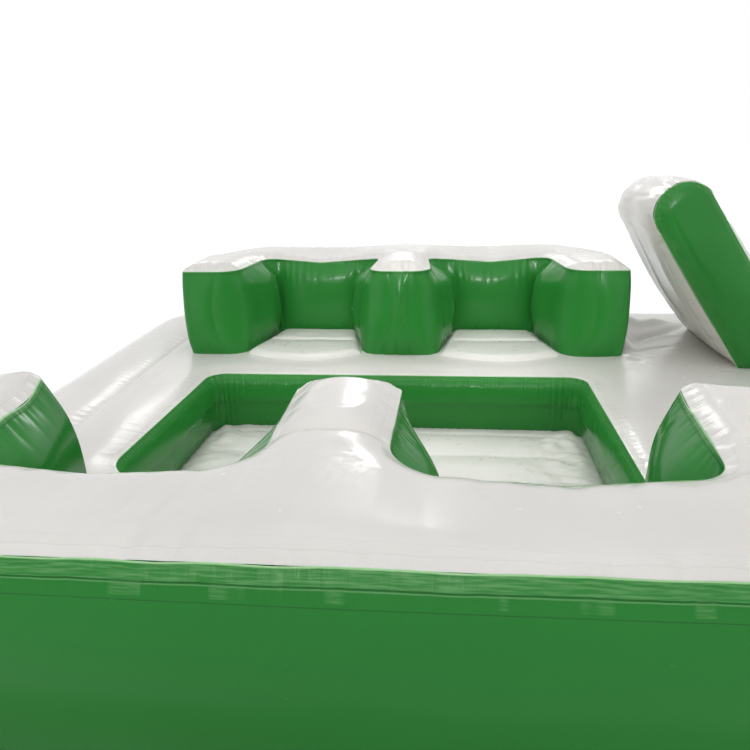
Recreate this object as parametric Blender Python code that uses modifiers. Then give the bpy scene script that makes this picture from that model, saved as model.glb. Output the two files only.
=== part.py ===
"""Inflatable floating island of welded PVC tarpaulin: a deck round a sunken foot well, two facing
two-seat benches, and two leaning backrests for the sun deck at one end.

Metres, +Z up. The origin is under the middle of the deck, at its underside. X runs along the deck,
with the well nearer the -X end, and Y runs across it, through both benches.
"""

import math

import bmesh
import bpy
from mathutils import Matrix, Vector

# Fits
GAP = 0.0003  # between faces that touch, such as two welded panels
RUNNING_CLEARANCE = 0.0003  # all round a piece that turns or slides in another
ARC_STEPS = 3  # facets in one rounded corner
DECK_ARC_STEPS = 6
TURNED_STEPS = 16  # facets round a turned fitting

# Deck
DECK_LENGTH = 5.44
DECK_WIDTH = 4.70
DECK_HEIGHT = 0.40
DECK_CORNER_RADIUS = 0.30
TUBE_WIDTH = 0.51  # from the deck's outer edge in to the seam
SIDE_SEAM_HEIGHT = 0.29  # where the white top panel meets the green side panel
SIDE_BAND_LOW = 0.11  # the upright stretch of the side panel, which carries the fittings
SIDE_BAND_HIGH = 0.21
SIDE_FOOT_INSET = 0.10  # how far the underside's edge is rounded in
SIDE_SEAM_INSET = 0.030  # from the deck's widest outline in to the seam on its side
CROWN_START = 0.285  # the flat of the tube's crown, from its outer to its inner edge
CROWN_END = 0.350
VALLEY_DEPTH = 0.045  # how far the seam inside the tube lies under the deck's top
VALLEY_REACH = 0.130  # from that seam to the platform's full height

# Foot well
WELL_LENGTH = 2.066  # along X
WELL_WIDTH = 1.340  # along Y
WELL_CORNER_RADIUS = 0.08
WELL_TO_DECK_END = 0.902  # from the well's edge to the deck's -X end
WELL_DEPTH = 0.314
WELL_LINING_THICKNESS = 0.05
WELL_LINING_BULGE = 0.03
WELL_RIM_DROP = 0.015  # the white panel's turned-down lip over the lining
WELL_RIM_REACH = 0.135  # over which the platform's top rounds down to that lip
FLOOR_CHANNELS = 5
FLOOR_CHANNEL_DEPTH = 0.028
CHANNEL_POINTS = 6

# Benches, seen from above: X across, and depth counted outward from the front of the arms
BENCH_WIDTH = 2.58
BENCH_FRONT = 0.992  # from the well's middle to the front of the arms
BENCH_DEPTH = 0.933
BENCH_HEIGHT = 0.506
BENCH_CORNER_RADIUS = 0.05
BENCH_BULGE = 0.045  # how far a long wall stands out at half height
BULGE_PER_LENGTH = 0.08  # the same for a short wall, as a share of its length
WALL_POINTS = 2  # between one corner of a wall and the next

# The two seats' recesses: at the deck, then at the top seam
RECESS_DEPTH = 0.530
RECESS_OUTER_FRONT = 0.942  # half the distance between the two arms, at the front
RECESS_OUTER_BACK = 0.820
DIVIDER_FRONT = 0.165  # half the divider's width, at the front
DIVIDER_BACK = 0.300
RECESS_CORNER_RADIUS = 0.05
RECESS_TOP_DEPTH = 0.545
RECESS_TOP_OUTER_FRONT = 0.962
RECESS_TOP_OUTER_BACK = 0.900
DIVIDER_TOP_FRONT = 0.157
DIVIDER_TOP_BACK = 0.152
RECESS_TOP_CORNER_RADIUS = 0.10
TOP_CREASE_DEPTH = 0.400  # where the arms' top panels meet the back's
CREASE_CORNER_RADIUS = 0.02
ARM_CROWN = 0.048
BACK_CROWN = 0.036

# Seat pads
PAD_HEIGHT = 0.032
PAD_CLEARANCE = 0.020  # to the recess walls, which bulge over the pad's edge
PAD_FRONT_REACH = 0.125  # how far the curved front edge stands out before the arms
PAD_CHANNEL_DEPTH = 0.245  # where the cross seam lies, counted from the arms' front
PAD_FRONT_POINTS = 5
PAD_CORNER_RADIUS = 0.015
CHANNEL_OVERLAP = 0.006  # how far each channel reaches past the cross seam into the other

# Leaning backrests
BACKREST_LEAN = math.radians(33.7)
BACKREST_THICKNESS = 0.307
BACKREST_HEIGHT = 0.986  # of the rounded top over the deck
BACKREST_WIDTH = 0.84
BACKREST_TO_DECK_MIDDLE = 1.22  # from the deck's long middle line to the backrest's
BACKREST_BASE = 1.265  # X of the middle of its base
BACKREST_BULGE = 0.055  # of its two faces, halfway across
BACKREST_TOP_BULGE = 0.008
SIDE_PANEL_CROWN = 0.036
SLAB_BASE_RADIUS = 0.02

# Inflation valves
VALVE_FLANGE_RADIUS = 0.045
VALVE_FLANGE_HEIGHT = 0.004
VALVE_BOSS_RADIUS = 0.026
VALVE_BOSS_HEIGHT = 0.026
VALVE_BORE_RADIUS = 0.018
VALVE_BORE_FLOOR = 0.012
PLUNGER_RADIUS = 0.006
PLUNGER_HEAD_RADIUS = 0.011
PLUNGER_HEAD_HEIGHT = 0.004
PLUNGER_TRAVEL = 0.005
PLUNGER_ENGAGEMENT = 0.003  # length of the stem that stays in its guide
CAP_WALL = 0.004
CAP_SKIRT = 0.016
CAP_EDGE = 0.002  # bevel of its rim
GRIP_WIDTH = 0.009
GRIP_HEIGHT = 0.008
GRIP_EDGE = 0.0015

# Relief valve
RELIEF_FLANGE_RADIUS = 0.040
RELIEF_BOSS_RADIUS = 0.022
RELIEF_BOSS_HEIGHT = 0.016
RELIEF_SEAT_HEIGHT = 0.008
POPPET_RADIUS = 0.013
POPPET_STEM_RADIUS = 0.004
POPPET_THICKNESS = 0.003
RELIEF_BORE_CLEARANCE = 0.002
RELIEF_GUIDE_FLOOR = 0.002

# Mooring rings and grab handles
PATCH_RADIUS = 0.045
PATCH_THICKNESS = 0.003
RING_WIDTH = 0.056
RING_LENGTH = 0.046
RING_WIRE = 0.003  # radius
KEEPER_WIDTH = 0.034
KEEPER_WALL = 0.0035
KEEPER_RISE = 0.0075  # of the bar's axis over the patch
KEEPER_SIDES = 8
RING_CORNER_RADIUS = 0.007
HANDLE_LENGTH = 0.30
HANDLE_RISE = 0.042
HANDLE_WIDTH = 0.040
HANDLE_THICKNESS = 0.004
HANDLE_END = 0.055  # welded length at each end
HANDLE_POINTS = 9

# Where the fittings sit on the deck's sides
RING_OFFSET_X = 1.75
HANDLE_OFFSET_Y = 0.80
DECK_VALVE_Y = 0.25
FITTING_HEIGHT = (SIDE_BAND_LOW + SIDE_BAND_HIGH) / 2
BENCH_VALVE_HEIGHT = 0.25
BACKREST_VALVE_HEIGHT = 0.42

WELL_X = -DECK_LENGTH / 2 + WELL_TO_DECK_END + WELL_LENGTH / 2
FLOOR_TOP = DECK_HEIGHT - WELL_DEPTH
COLLECTION = "inflatable_floating_island"


def clear_scene():
    for obj in list(bpy.data.objects):
        bpy.data.objects.remove(obj)


def collection(name, hidden=False):
    made = bpy.data.collections.new(name)
    bpy.context.scene.collection.children.link(made)
    made.hide_render = hidden
    return made


def srgb(red, green, blue):
    """Linear colour from 0-255 sRGB values."""
    return tuple(((c / 255 + 0.055) / 1.055) ** 2.4 for c in (red, green, blue)) + (1.0,)


def material(name, color, roughness, metallic=0.0):
    made = bpy.data.materials.new(name)
    made.use_nodes = True
    shader = made.node_tree.nodes["Principled BSDF"]
    shader.inputs["Base Color"].default_value = color
    shader.inputs["Roughness"].default_value = roughness
    shader.inputs["Metallic"].default_value = metallic
    made.diffuse_color = color
    return made


def add_object(name, data, mat, place=None):
    obj = bpy.data.objects.new(name, data)
    bpy.data.collections[COLLECTION].objects.link(obj)
    if not data.materials:
        data.materials.append(mat)
    if place is not None:
        obj.matrix_world = place
    return obj


def as_tool(obj):
    """Moves an object to the collection of cutters and added shapes, which isn't part of the island."""
    bpy.data.collections[COLLECTION].objects.unlink(obj)
    bpy.data.collections["cutters"].objects.link(obj)
    obj.hide_render = True
    obj.display_type = "WIRE"
    return obj


def combine(obj, other, operation):
    change = obj.modifiers.new(operation.lower(), "BOOLEAN")
    change.operation = operation
    change.object = as_tool(other)
    change.solver = "EXACT"


def inward(start, end):
    """Unit normal to the left of an edge, which is the inner side of an anticlockwise outline."""
    along = (end - start).normalized()
    return Vector((-along.y, along.x))


def outline(corners, inset=0.0, steps=ARC_STEPS):
    """Closed outline with rounded corners, whose edges are moved inward by one inset or by a list.

    corners are (x, y, radius), anticlockwise; a corner of radius 0 stays one point. Every inset
    gives the same number of points, so that outlines of one shape can be skinned to each other.
    """
    points = [Vector(c[:2]) for c in corners]
    count = len(points)
    shifts = [inset] * count if isinstance(inset, float) else inset
    moved = []
    for i in range(count):
        before, here, after = points[i - 1], points[i], points[(i + 1) % count]
        in_a, in_b = inward(before, here), inward(here, after)
        shift_a, shift_b = shifts[i - 1], shifts[i]
        cross = in_a.x * in_b.y - in_a.y * in_b.x
        if abs(cross) < 1e-6:
            moved.append(here + in_a * shift_a)
            continue
        # the point whose distances from the two edges are the two shifts
        x = (shift_a * in_b.y - shift_b * in_a.y) / cross
        y = (in_a.x * shift_b - in_b.x * shift_a) / cross
        moved.append(here + Vector((x, y)))
    result = []
    for i in range(count):
        before, here, after = moved[i - 1], moved[i], moved[(i + 1) % count]
        radius = corners[i][2]
        to_before, to_after = (before - here), (after - here)
        turn = math.pi - to_before.angle(to_after)
        if radius == 0 or turn < 1e-4:
            result.append(here)
            continue
        convex = to_before.cross(to_after) < 0
        growth = (shifts[i - 1] + shifts[i]) / 2
        radius = max(radius - growth if convex else radius + growth, radius * 0.1)
        reach = min(radius * math.tan(turn / 2), 0.49 * min(to_before.length, to_after.length))
        radius = reach / math.tan(turn / 2)
        start = here + to_before.normalized() * reach
        side = inward(before, here) * (radius if convex else -radius)
        centre = start + side
        spoke = start - centre
        for k in range(steps + 1):
            angle = turn * k / steps * (1 if convex else -1)
            result.append(centre + Matrix.Rotation(angle, 2) @ spoke)
    return result


def mix(start, end, share):
    return start + (end - start) * share


def rectangle(length, width, radius, centre_x=0.0, centre_y=0.0):
    x, y = length / 2, width / 2
    return [
        (centre_x + sx * x, centre_y + sy * y, radius)
        for sx, sy in ((-1, -1), (1, -1), (1, 1), (-1, 1))
    ]


def at_height(points, z):
    return [Vector((p.x, p.y, z)) for p in points]


def at_width(points, y):
    """An outline drawn in X and Z, set at one Y."""
    return [Vector((p.x, y, p.y)) for p in points]


def skin(name, loops, closed_ring=False):
    """Mesh over a stack of loops with equal numbers of points, capped unless it closes on itself."""
    mesh = bpy.data.meshes.new(name)
    bm = bmesh.new()
    rows = [[bm.verts.new(p) for p in loop] for loop in loops]
    pairs = list(zip(rows, rows[1:]))
    if closed_ring:
        pairs.append((rows[-1], rows[0]))
    else:
        bm.faces.new(rows[0])
        bm.faces.new(rows[-1])
    for low, high in pairs:
        for i in range(len(low)):
            j = (i + 1) % len(low)
            bm.faces.new((low[i], low[j], high[j], high[i]))
    bmesh.ops.recalc_face_normals(bm, faces=bm.faces)
    bm.to_mesh(mesh)
    bm.free()
    mesh.shade_smooth()
    mesh.set_sharp_from_angle(angle=math.radians(35))
    return mesh


def turned(name, profile):
    """Mesh of a profile of (radius, z), from the axis at the top down its outer side to the axis."""
    mesh = bpy.data.meshes.new(name)
    bm = bmesh.new()
    verts = [bm.verts.new((r, 0, z)) for r, z in profile]
    for a, b in zip(verts, verts[1:]):
        bm.edges.new((a, b))
    bm.to_mesh(mesh)
    bm.free()
    return mesh


def add_turned(name, mesh, mat, place):
    obj = add_object(name, mesh, mat, place)
    screw = obj.modifiers.new("turn", "SCREW")
    screw.axis = "Z"
    screw.steps = TURNED_STEPS
    screw.render_steps = TURNED_STEPS
    screw.use_merge_vertices = True
    screw.merge_threshold = 0.0001
    return obj


def facing(point, normal, up=Vector((0, 0, 1))):
    """Placement whose Z is the skin's outward normal and whose Y points up."""
    z = Vector(normal).normalized()
    x = up.cross(z).normalized()
    y = z.cross(x)
    place = Matrix((x, y, z)).transposed().to_4x4()
    place.translation = Vector(point)
    return place


# Deck


def deck_outline(inset):
    return outline(rectangle(DECK_LENGTH, DECK_WIDTH, DECK_CORNER_RADIUS), inset, DECK_ARC_STEPS)


def well_outline(outset):
    return outline(rectangle(WELL_LENGTH, WELL_WIDTH, WELL_CORNER_RADIUS, WELL_X), -outset, DECK_ARC_STEPS)


def build_side_panel(mat):
    """The green lower half of the perimeter tube, with its upright band."""
    foot = [
        (SIDE_FOOT_INSET * inset, SIDE_BAND_LOW * up)
        for inset, up in ((1.0, 0.0), (0.4, 0.32), (0.1, 0.68), (0.0, 1.0))
    ]
    profile = foot + [
        (0.0, SIDE_BAND_HIGH),
        (SIDE_SEAM_INSET / 3, mix(SIDE_BAND_HIGH, SIDE_SEAM_HEIGHT, 0.5)),
        (SIDE_SEAM_INSET, SIDE_SEAM_HEIGHT),
        (TUBE_WIDTH, SIDE_SEAM_HEIGHT),
        (TUBE_WIDTH, 0.0),
    ]
    loops = [at_height(deck_outline(inset), z) for inset, z in profile]
    add_object("perimeter_side_panel", skin("perimeter_side_panel", loops, True), mat)


def build_tube_top(mat):
    """The white crown of the perimeter tube, down to the seam that it shares with the platform."""
    seam = SIDE_SEAM_HEIGHT + GAP
    outer_face = [
        (mix(SIDE_SEAM_INSET, CROWN_START, inset), mix(seam, DECK_HEIGHT, up))
        for inset, up in ((0.0, 0.0), (0.14, 0.32), (0.35, 0.64), (0.65, 0.88), (1.0, 1.0))
    ]
    profile = outer_face + [
        (CROWN_END, DECK_HEIGHT),
        (mix(CROWN_END, TUBE_WIDTH, 0.5), DECK_HEIGHT - 0.35 * VALLEY_DEPTH),
        (TUBE_WIDTH, DECK_HEIGHT - VALLEY_DEPTH),
        (TUBE_WIDTH, seam),
    ]
    loops = [at_height(deck_outline(inset), z) for inset, z in profile]
    add_object("perimeter_tube_top", skin("perimeter_tube_top", loops, True), mat)


def build_platform(mat):
    """The white deck chamber inside the tube, with the hole for the well and a lip over its lining."""
    seam = TUBE_WIDTH + GAP
    hole = WELL_LINING_THICKNESS + GAP
    loops = [at_height(deck_outline(seam), 0.0)]
    for reach, drop in ((0.0, 1.0), (0.27, 0.45), (0.62, 0.12), (1.0, 0.0)):
        z = DECK_HEIGHT - VALLEY_DEPTH * drop
        loops.append(at_height(deck_outline(seam + VALLEY_REACH * reach), z))
    for reach, drop in ((1.0, 0.0), (0.55, 0.10), (0.22, 0.35), (0.045, 0.70), (0.0, 1.0)):
        z = DECK_HEIGHT - WELL_RIM_DROP * drop
        loops.append(at_height(well_outline(WELL_RIM_REACH * reach), z))
    loops.append(at_height(well_outline(hole), DECK_HEIGHT - WELL_RIM_DROP))
    loops.append(at_height(well_outline(hole), 0.0))
    add_object("deck_platform", skin("deck_platform", loops, True), mat)


def build_well_lining(mat):
    """The green wall of the well, which bulges inward between its two seams."""
    top = DECK_HEIGHT - WELL_RIM_DROP - GAP
    bottom = FLOOR_TOP + GAP
    loops = [at_height(well_outline(WELL_LINING_THICKNESS), z) for z in (bottom, top)]
    for share, bulge in ((1.0, 0.0), (0.85, 0.55), (0.62, 1.0), (0.38, 1.0), (0.15, 0.55), (0.0, 0.0)):
        z = bottom + share * (top - bottom)
        loops.append(at_height(well_outline(-bulge * WELL_LINING_BULGE), z))
    add_object("well_lining", skin("well_lining", loops, True), mat)


def build_well_floor(mat):
    """The white floor mat, a row of crowned channels that run along X."""
    reach = WELL_LINING_THICKNESS
    length, width = WELL_LENGTH + 2 * reach, WELL_WIDTH + 2 * reach
    count = FLOOR_CHANNELS * CHANNEL_POINTS
    section = [Vector((-width / 2, 0)), Vector((width / 2, 0))]
    for k in range(count, -1, -1):
        valley = 1 - abs(math.sin(math.pi * k / CHANNEL_POINTS)) ** 0.7
        section.append(Vector((width * (k / count - 0.5), FLOOR_TOP - FLOOR_CHANNEL_DEPTH * valley)))
    loops = [[Vector((WELL_X + side * length, p.x, p.y)) for p in section] for side in (-1, 1)]
    floor = add_object("well_floor_mat", skin("well_floor_mat", loops), mat)
    trim = [at_height(well_outline(reach), z) for z in (-DECK_HEIGHT, DECK_HEIGHT)]
    combine(floor, add_object("floor_outline", skin("floor_outline", trim), mat), "INTERSECT")


# Benches


def bench_corners(level, front=0.0):
    """A bench's outline from above, at a level from 0 at the deck to 1 at the top seam.

    The arms and the divider are cut off at the depth front.
    """
    depth = mix(RECESS_DEPTH, RECESS_TOP_DEPTH, level)
    outer_front = mix(RECESS_OUTER_FRONT, RECESS_TOP_OUTER_FRONT, level)
    outer_back = mix(RECESS_OUTER_BACK, RECESS_TOP_OUTER_BACK, level)
    divider_front = mix(DIVIDER_FRONT, DIVIDER_TOP_FRONT, level)
    divider_back = mix(DIVIDER_BACK, DIVIDER_TOP_BACK, level)
    concave = mix(RECESS_CORNER_RADIUS, RECESS_TOP_CORNER_RADIUS, level)
    convex = CREASE_CORNER_RADIUS if front else BENCH_CORNER_RADIUS
    outer = mix(outer_front, outer_back, front / depth)
    divider = mix(divider_front, divider_back, front / depth)
    half = BENCH_WIDTH / 2
    near, back, far = BENCH_FRONT + front, BENCH_FRONT + depth, BENCH_FRONT + BENCH_DEPTH
    left = [
        (-half, near, convex),
        (-outer, near, convex),
        (-outer_back, back, concave),
        (-divider_back, back, concave),
        (-divider, near, convex),
    ]
    right = [(-x, y, radius) for x, y, radius in reversed(left)]
    return left + right + [(half, far, BENCH_CORNER_RADIUS), (-half, far, BENCH_CORNER_RADIUS)]


def wall_bulge(length):
    """How far a wall of this length stands out at half height."""
    return min(BENCH_BULGE, BULGE_PER_LENGTH * length)


def bowed(corners, share):
    """The outline with points along each wall, which bow it outward by a share of its full bulge."""
    result = []
    for i, corner in enumerate(corners):
        here, after = Vector(corner[:2]), Vector(corners[(i + 1) % len(corners)][:2])
        outward = -inward(here, after) * share * wall_bulge((after - here).length)
        result.append(corner)
        for k in range(1, WALL_POINTS + 1):
            along = k / (WALL_POINTS + 1)
            point = here.lerp(after, along) + outward * 4 * along * (1 - along)
            result.append((point.x, point.y, 0))
    return result


def bench_wall_loops():
    levels = ((0.0, 0.0), (0.10, 0.55), (0.28, 1.0), (0.72, 1.0), (0.90, 0.55), (1.0, 0.0))
    return [
        at_height(outline(bowed(bench_corners(level), share)), level * BENCH_HEIGHT)
        for level, share in levels
    ]


def crown_levels(crown):
    """(inset, z) over a crowned top panel, from its seam to the flat of its crown."""
    shares = ((0.0, 0.0), (0.022, 0.38), (0.055, 0.70), (0.095, 0.92), (0.135, 1.0))
    return [(inset, crown * up) for inset, up in shares]


def arm_corners(side):
    """The top panel of the arm on one side, -1 or 1, or of the divider, 0, as far as the crease."""
    near, crease = BENCH_FRONT, BENCH_FRONT + TOP_CREASE_DEPTH - GAP
    share = TOP_CREASE_DEPTH / RECESS_TOP_DEPTH
    if side == 0:
        low_right, low_left = DIVIDER_TOP_FRONT, -DIVIDER_TOP_FRONT
        high_right = mix(DIVIDER_TOP_FRONT, DIVIDER_TOP_BACK, share)
        high_left = -high_right
    else:
        low_right, low_left = BENCH_WIDTH / 2, RECESS_TOP_OUTER_FRONT
        high_right = low_right
        high_left = mix(RECESS_TOP_OUTER_FRONT, RECESS_TOP_OUTER_BACK, share)
    corners = [
        (low_left, near, BENCH_CORNER_RADIUS),
        (low_right, near, BENCH_CORNER_RADIUS),
        (high_right, crease, CREASE_CORNER_RADIUS),
        (high_left, crease, CREASE_CORNER_RADIUS),
    ]
    if side < 0:
        corners = [(-x, y, radius) for x, y, radius in reversed(corners)]
    return corners


def build_bench_meshes():
    meshes = {"walls": skin("bench_walls", bench_wall_loops())}
    seam = BENCH_HEIGHT + GAP
    tops = {
        "left_arm_top": (arm_corners(-1), ARM_CROWN),
        "divider_top": (arm_corners(0), ARM_CROWN),
        "right_arm_top": (arm_corners(1), ARM_CROWN),
        "back_top": (bench_corners(1.0, TOP_CREASE_DEPTH), BACK_CROWN),
    }
    for name, (corners, crown) in tops.items():
        loops = [at_height(outline(corners, inset), seam + z) for inset, z in crown_levels(crown)]
        meshes[name] = skin("bench_" + name, loops)
    return meshes


def pad_corners(side, near, far):
    """Outline of one channel of a seat pad, between two depths counted from the arms' front."""

    def edges(depth):
        share = depth / RECESS_DEPTH
        outer = mix(RECESS_OUTER_FRONT, RECESS_OUTER_BACK, share) - PAD_CLEARANCE
        inner = mix(DIVIDER_FRONT, DIVIDER_BACK, share) + PAD_CLEARANCE
        return inner, outer

    low_inner, low_outer = edges(near)
    high_inner, high_outer = edges(far)
    corners = [(low_inner, BENCH_FRONT + near, PAD_CORNER_RADIUS)]
    if near == 0:
        for k in range(1, PAD_FRONT_POINTS + 1):
            share = 2 * k / (PAD_FRONT_POINTS + 1) - 1
            x = low_inner + (share + 1) / 2 * (low_outer - low_inner)
            corners.append((x, BENCH_FRONT + near - PAD_FRONT_REACH * (1 - share**2), 0))
    corners.append((low_outer, BENCH_FRONT + near, PAD_CORNER_RADIUS))
    corners.append((high_outer, BENCH_FRONT + far, PAD_CORNER_RADIUS))
    corners.append((high_inner, BENCH_FRONT + far, PAD_CORNER_RADIUS))
    if side < 0:
        corners = [(-x, y, radius) for x, y, radius in reversed(corners)]
    return corners


def pad_levels():
    shares = ((0.004, 0.0), (0.0, 0.30), (0.006, 0.62), (0.022, 0.88), (0.050, 1.0))
    return [(inset, GAP + up * PAD_HEIGHT) for inset, up in shares]


def build_pad(name, side, mat, place):
    """A seat pad of two channels that meet at a cross seam."""
    back_end = RECESS_DEPTH - PAD_CLEARANCE
    spans = (
        (0.0, PAD_CHANNEL_DEPTH + CHANNEL_OVERLAP),
        (PAD_CHANNEL_DEPTH - CHANNEL_OVERLAP, back_end),
    )
    meshes = []
    for near, far in spans:
        corners = pad_corners(side, near, far)
        meshes.append(skin(name, [at_height(outline(corners, inset), z) for inset, z in pad_levels()]))
    pad = add_object(name, meshes[0], mat, place)
    combine(pad, add_object(name + "_back_channel", meshes[1], mat, place), "UNION")


def build_benches(green, white, floor_white):
    meshes = build_bench_meshes()
    for where, turn in (("rear", 0.0), ("front", math.pi)):
        place = Matrix.Translation((WELL_X, 0, DECK_HEIGHT + GAP)) @ Matrix.Rotation(turn, 4, "Z")
        sides = {"left": "right", "right": "left"} if turn else {"left": "left", "right": "right"}
        for part, mesh in meshes.items():
            side = part.split("_")[0]
            name = part.replace(side, sides.get(side, side))
            add_object(f"{where}_bench_{name}", mesh, green if part == "walls" else white, place)
        for side_name, side in (("left", -1), ("right", 1)):
            build_pad(f"{where}_{sides[side_name]}_seat_pad", side, floor_white, place)


# Backrests


def slab_corners():
    """The backrest's outline in X and Z from the middle of its base: a leaning slab with a round top."""
    up = Vector((-math.sin(BACKREST_LEAN), math.cos(BACKREST_LEAN)))
    right = Vector((math.cos(BACKREST_LEAN), math.sin(BACKREST_LEAN)))
    half = BACKREST_THICKNESS / 2
    length = (BACKREST_HEIGHT - half) / math.cos(BACKREST_LEAN) + half
    base = half / math.cos(BACKREST_LEAN)
    top = BACKREST_THICKNESS  # more than fits, so the top becomes as round as it can be
    high_right, high_left = up * length + right * half, up * length - right * half
    return [
        (-base, 0.0, SLAB_BASE_RADIUS),
        (base, 0.0, SLAB_BASE_RADIUS),
        (high_right.x, high_right.y, top),
        (high_left.x, high_left.y, top),
    ]


def build_backrest(name, centre_y, white, green):
    """A white body with its band bulging between two green side panels."""
    place = Matrix.Translation((BACKREST_BASE, centre_y, DECK_HEIGHT + GAP))
    half = BACKREST_WIDTH / 2
    shares = ((1.0, 0.0), (0.92, 0.50), (0.70, 1.0), (-0.70, 1.0), (-0.92, 0.50), (-1.0, 0.0))
    loops = []
    for across, share in shares:
        face, top = -share * BACKREST_BULGE, -share * BACKREST_TOP_BULGE
        points = outline(slab_corners(), [0.0, face, top, face])
        loops.append(at_width(points, across * half))
    add_object(name + "_body", skin(name + "_body", loops), white, place)
    shares = ((0.0, 0.0), (0.006, 0.35), (0.03, 0.75), (0.075, 1.0))
    levels = [(inset, SIDE_PANEL_CROWN * up) for inset, up in shares]
    for side_name, side in (("inner", -1), ("outer", 1)):
        outward = side if centre_y > 0 else -side
        loops = []
        for inset, out in levels:
            points = outline(slab_corners(), inset)
            loops.append(at_width(points, outward * (half + GAP + out)))
        panel = f"{name}_{side_name}_side_panel"
        add_object(panel, skin(panel, loops), green, place)


# Fittings


def facet_room(radius, clearance):
    """Radius of a faceted bore whose flats clear a round piece of the given radius."""
    return (radius + clearance) / math.cos(math.pi / TURNED_STEPS)


def valve_meshes():
    guide = facet_room(PLUNGER_RADIUS, RUNNING_CLEARANCE)
    guide_floor = VALVE_BORE_FLOOR - PLUNGER_ENGAGEMENT - PLUNGER_TRAVEL - RUNNING_CLEARANCE
    body = [
        (0, guide_floor),
        (guide, guide_floor),
        (guide, VALVE_BORE_FLOOR),
        (VALVE_BORE_RADIUS, VALVE_BORE_FLOOR),
        (VALVE_BORE_RADIUS, VALVE_BOSS_HEIGHT),
        (VALVE_BOSS_RADIUS, VALVE_BOSS_HEIGHT),
        (VALVE_BOSS_RADIUS, VALVE_FLANGE_HEIGHT),
        (VALVE_FLANGE_RADIUS, VALVE_FLANGE_HEIGHT),
        (VALVE_FLANGE_RADIUS, 0),
        (0, 0),
    ]
    head = VALVE_BORE_FLOOR + PLUNGER_TRAVEL + RUNNING_CLEARANCE
    plunger = [
        (0, head + PLUNGER_HEAD_HEIGHT),
        (PLUNGER_HEAD_RADIUS * 0.8, head + PLUNGER_HEAD_HEIGHT),
        (PLUNGER_HEAD_RADIUS, head),
        (PLUNGER_RADIUS, head),
        (PLUNGER_RADIUS, VALVE_BORE_FLOOR - PLUNGER_ENGAGEMENT),
        (0, VALVE_BORE_FLOOR - PLUNGER_ENGAGEMENT),
    ]
    inner = facet_room(VALVE_BOSS_RADIUS, RUNNING_CLEARANCE)
    under = VALVE_BOSS_HEIGHT + RUNNING_CLEARANCE
    outer = inner + CAP_WALL
    cap = [
        (0, under + CAP_WALL),
        (outer - CAP_EDGE, under + CAP_WALL),
        (outer, under + CAP_WALL - CAP_EDGE),
        (outer, under - CAP_SKIRT),
        (inner, under - CAP_SKIRT),
        (inner, under),
        (0, under),
    ]
    return turned("valve_body", body), turned("valve_plunger", plunger), turned("valve_cap", cap)


def build_valve(name, meshes, body_mat, cap_mat, place):
    body, plunger, cap = meshes
    add_turned(name + "_body", body, body_mat, place)
    add_turned(name + "_plunger", plunger, cap_mat, place)
    lid = add_turned(name + "_cap", cap, cap_mat, place)
    length = 2 * (VALVE_BOSS_RADIUS + CAP_WALL) * 0.9
    low = VALVE_BOSS_HEIGHT + CAP_WALL / 2
    high = VALVE_BOSS_HEIGHT + RUNNING_CLEARANCE + CAP_WALL + GRIP_HEIGHT
    corners = rectangle(length, GRIP_WIDTH, GRIP_WIDTH * 0.3)
    levels = ((0.0, low), (0.0, high - GRIP_EDGE), (GRIP_EDGE, high))
    loops = [at_height(outline(corners, inset, steps=2), z) for inset, z in levels]
    grip = add_object(name + "_grip", skin(name + "_grip", loops), cap_mat, place)
    combine(lid, grip, "UNION")


def build_relief_valve(body_mat, cap_mat, place):
    stem_room = facet_room(POPPET_STEM_RADIUS, RUNNING_CLEARANCE)
    bore = POPPET_RADIUS + RELIEF_BORE_CLEARANCE
    body = [
        (0, RELIEF_GUIDE_FLOOR),
        (stem_room, RELIEF_GUIDE_FLOOR),
        (stem_room, RELIEF_SEAT_HEIGHT),
        (bore, RELIEF_SEAT_HEIGHT),
        (bore, RELIEF_BOSS_HEIGHT),
        (RELIEF_BOSS_RADIUS, RELIEF_BOSS_HEIGHT),
        (RELIEF_BOSS_RADIUS, VALVE_FLANGE_HEIGHT),
        (RELIEF_FLANGE_RADIUS, VALVE_FLANGE_HEIGHT),
        (RELIEF_FLANGE_RADIUS, 0),
        (0, 0),
    ]
    seat = RELIEF_SEAT_HEIGHT + RUNNING_CLEARANCE
    poppet = [
        (0, seat + POPPET_THICKNESS * 1.5),
        (POPPET_RADIUS * 0.7, seat + POPPET_THICKNESS),
        (POPPET_RADIUS, seat),
        (POPPET_STEM_RADIUS, seat),
        (POPPET_STEM_RADIUS, RELIEF_GUIDE_FLOOR + RUNNING_CLEARANCE),
        (0, RELIEF_GUIDE_FLOOR + RUNNING_CLEARANCE),
    ]
    add_turned("relief_valve_body", turned("relief_valve_body", body), body_mat, place)
    add_turned("relief_valve_poppet", turned("relief_valve_poppet", poppet), cap_mat, place)


def ring_curve():
    """The D-shaped ring, hanging from its straight bar along the curve's X axis."""
    half = RING_WIDTH / 2
    round_end = half * 0.95
    corners = [
        (half, 0.0, RING_CORNER_RADIUS),
        (-half, 0.0, RING_CORNER_RADIUS),
        (-half, -RING_LENGTH, round_end),
        (half, -RING_LENGTH, round_end),
    ]
    points = outline(corners, steps=4)
    curve = bpy.data.curves.new("mooring_ring", "CURVE")
    curve.dimensions = "3D"
    curve.bevel_depth = RING_WIRE
    curve.bevel_resolution = 1
    spline = curve.splines.new("POLY")
    spline.points.add(len(points) - 1)
    for target, point in zip(spline.points, points):
        target.co = (point.x, point.y, 0, 1)
    spline.use_cyclic_u = True
    return curve


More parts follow.
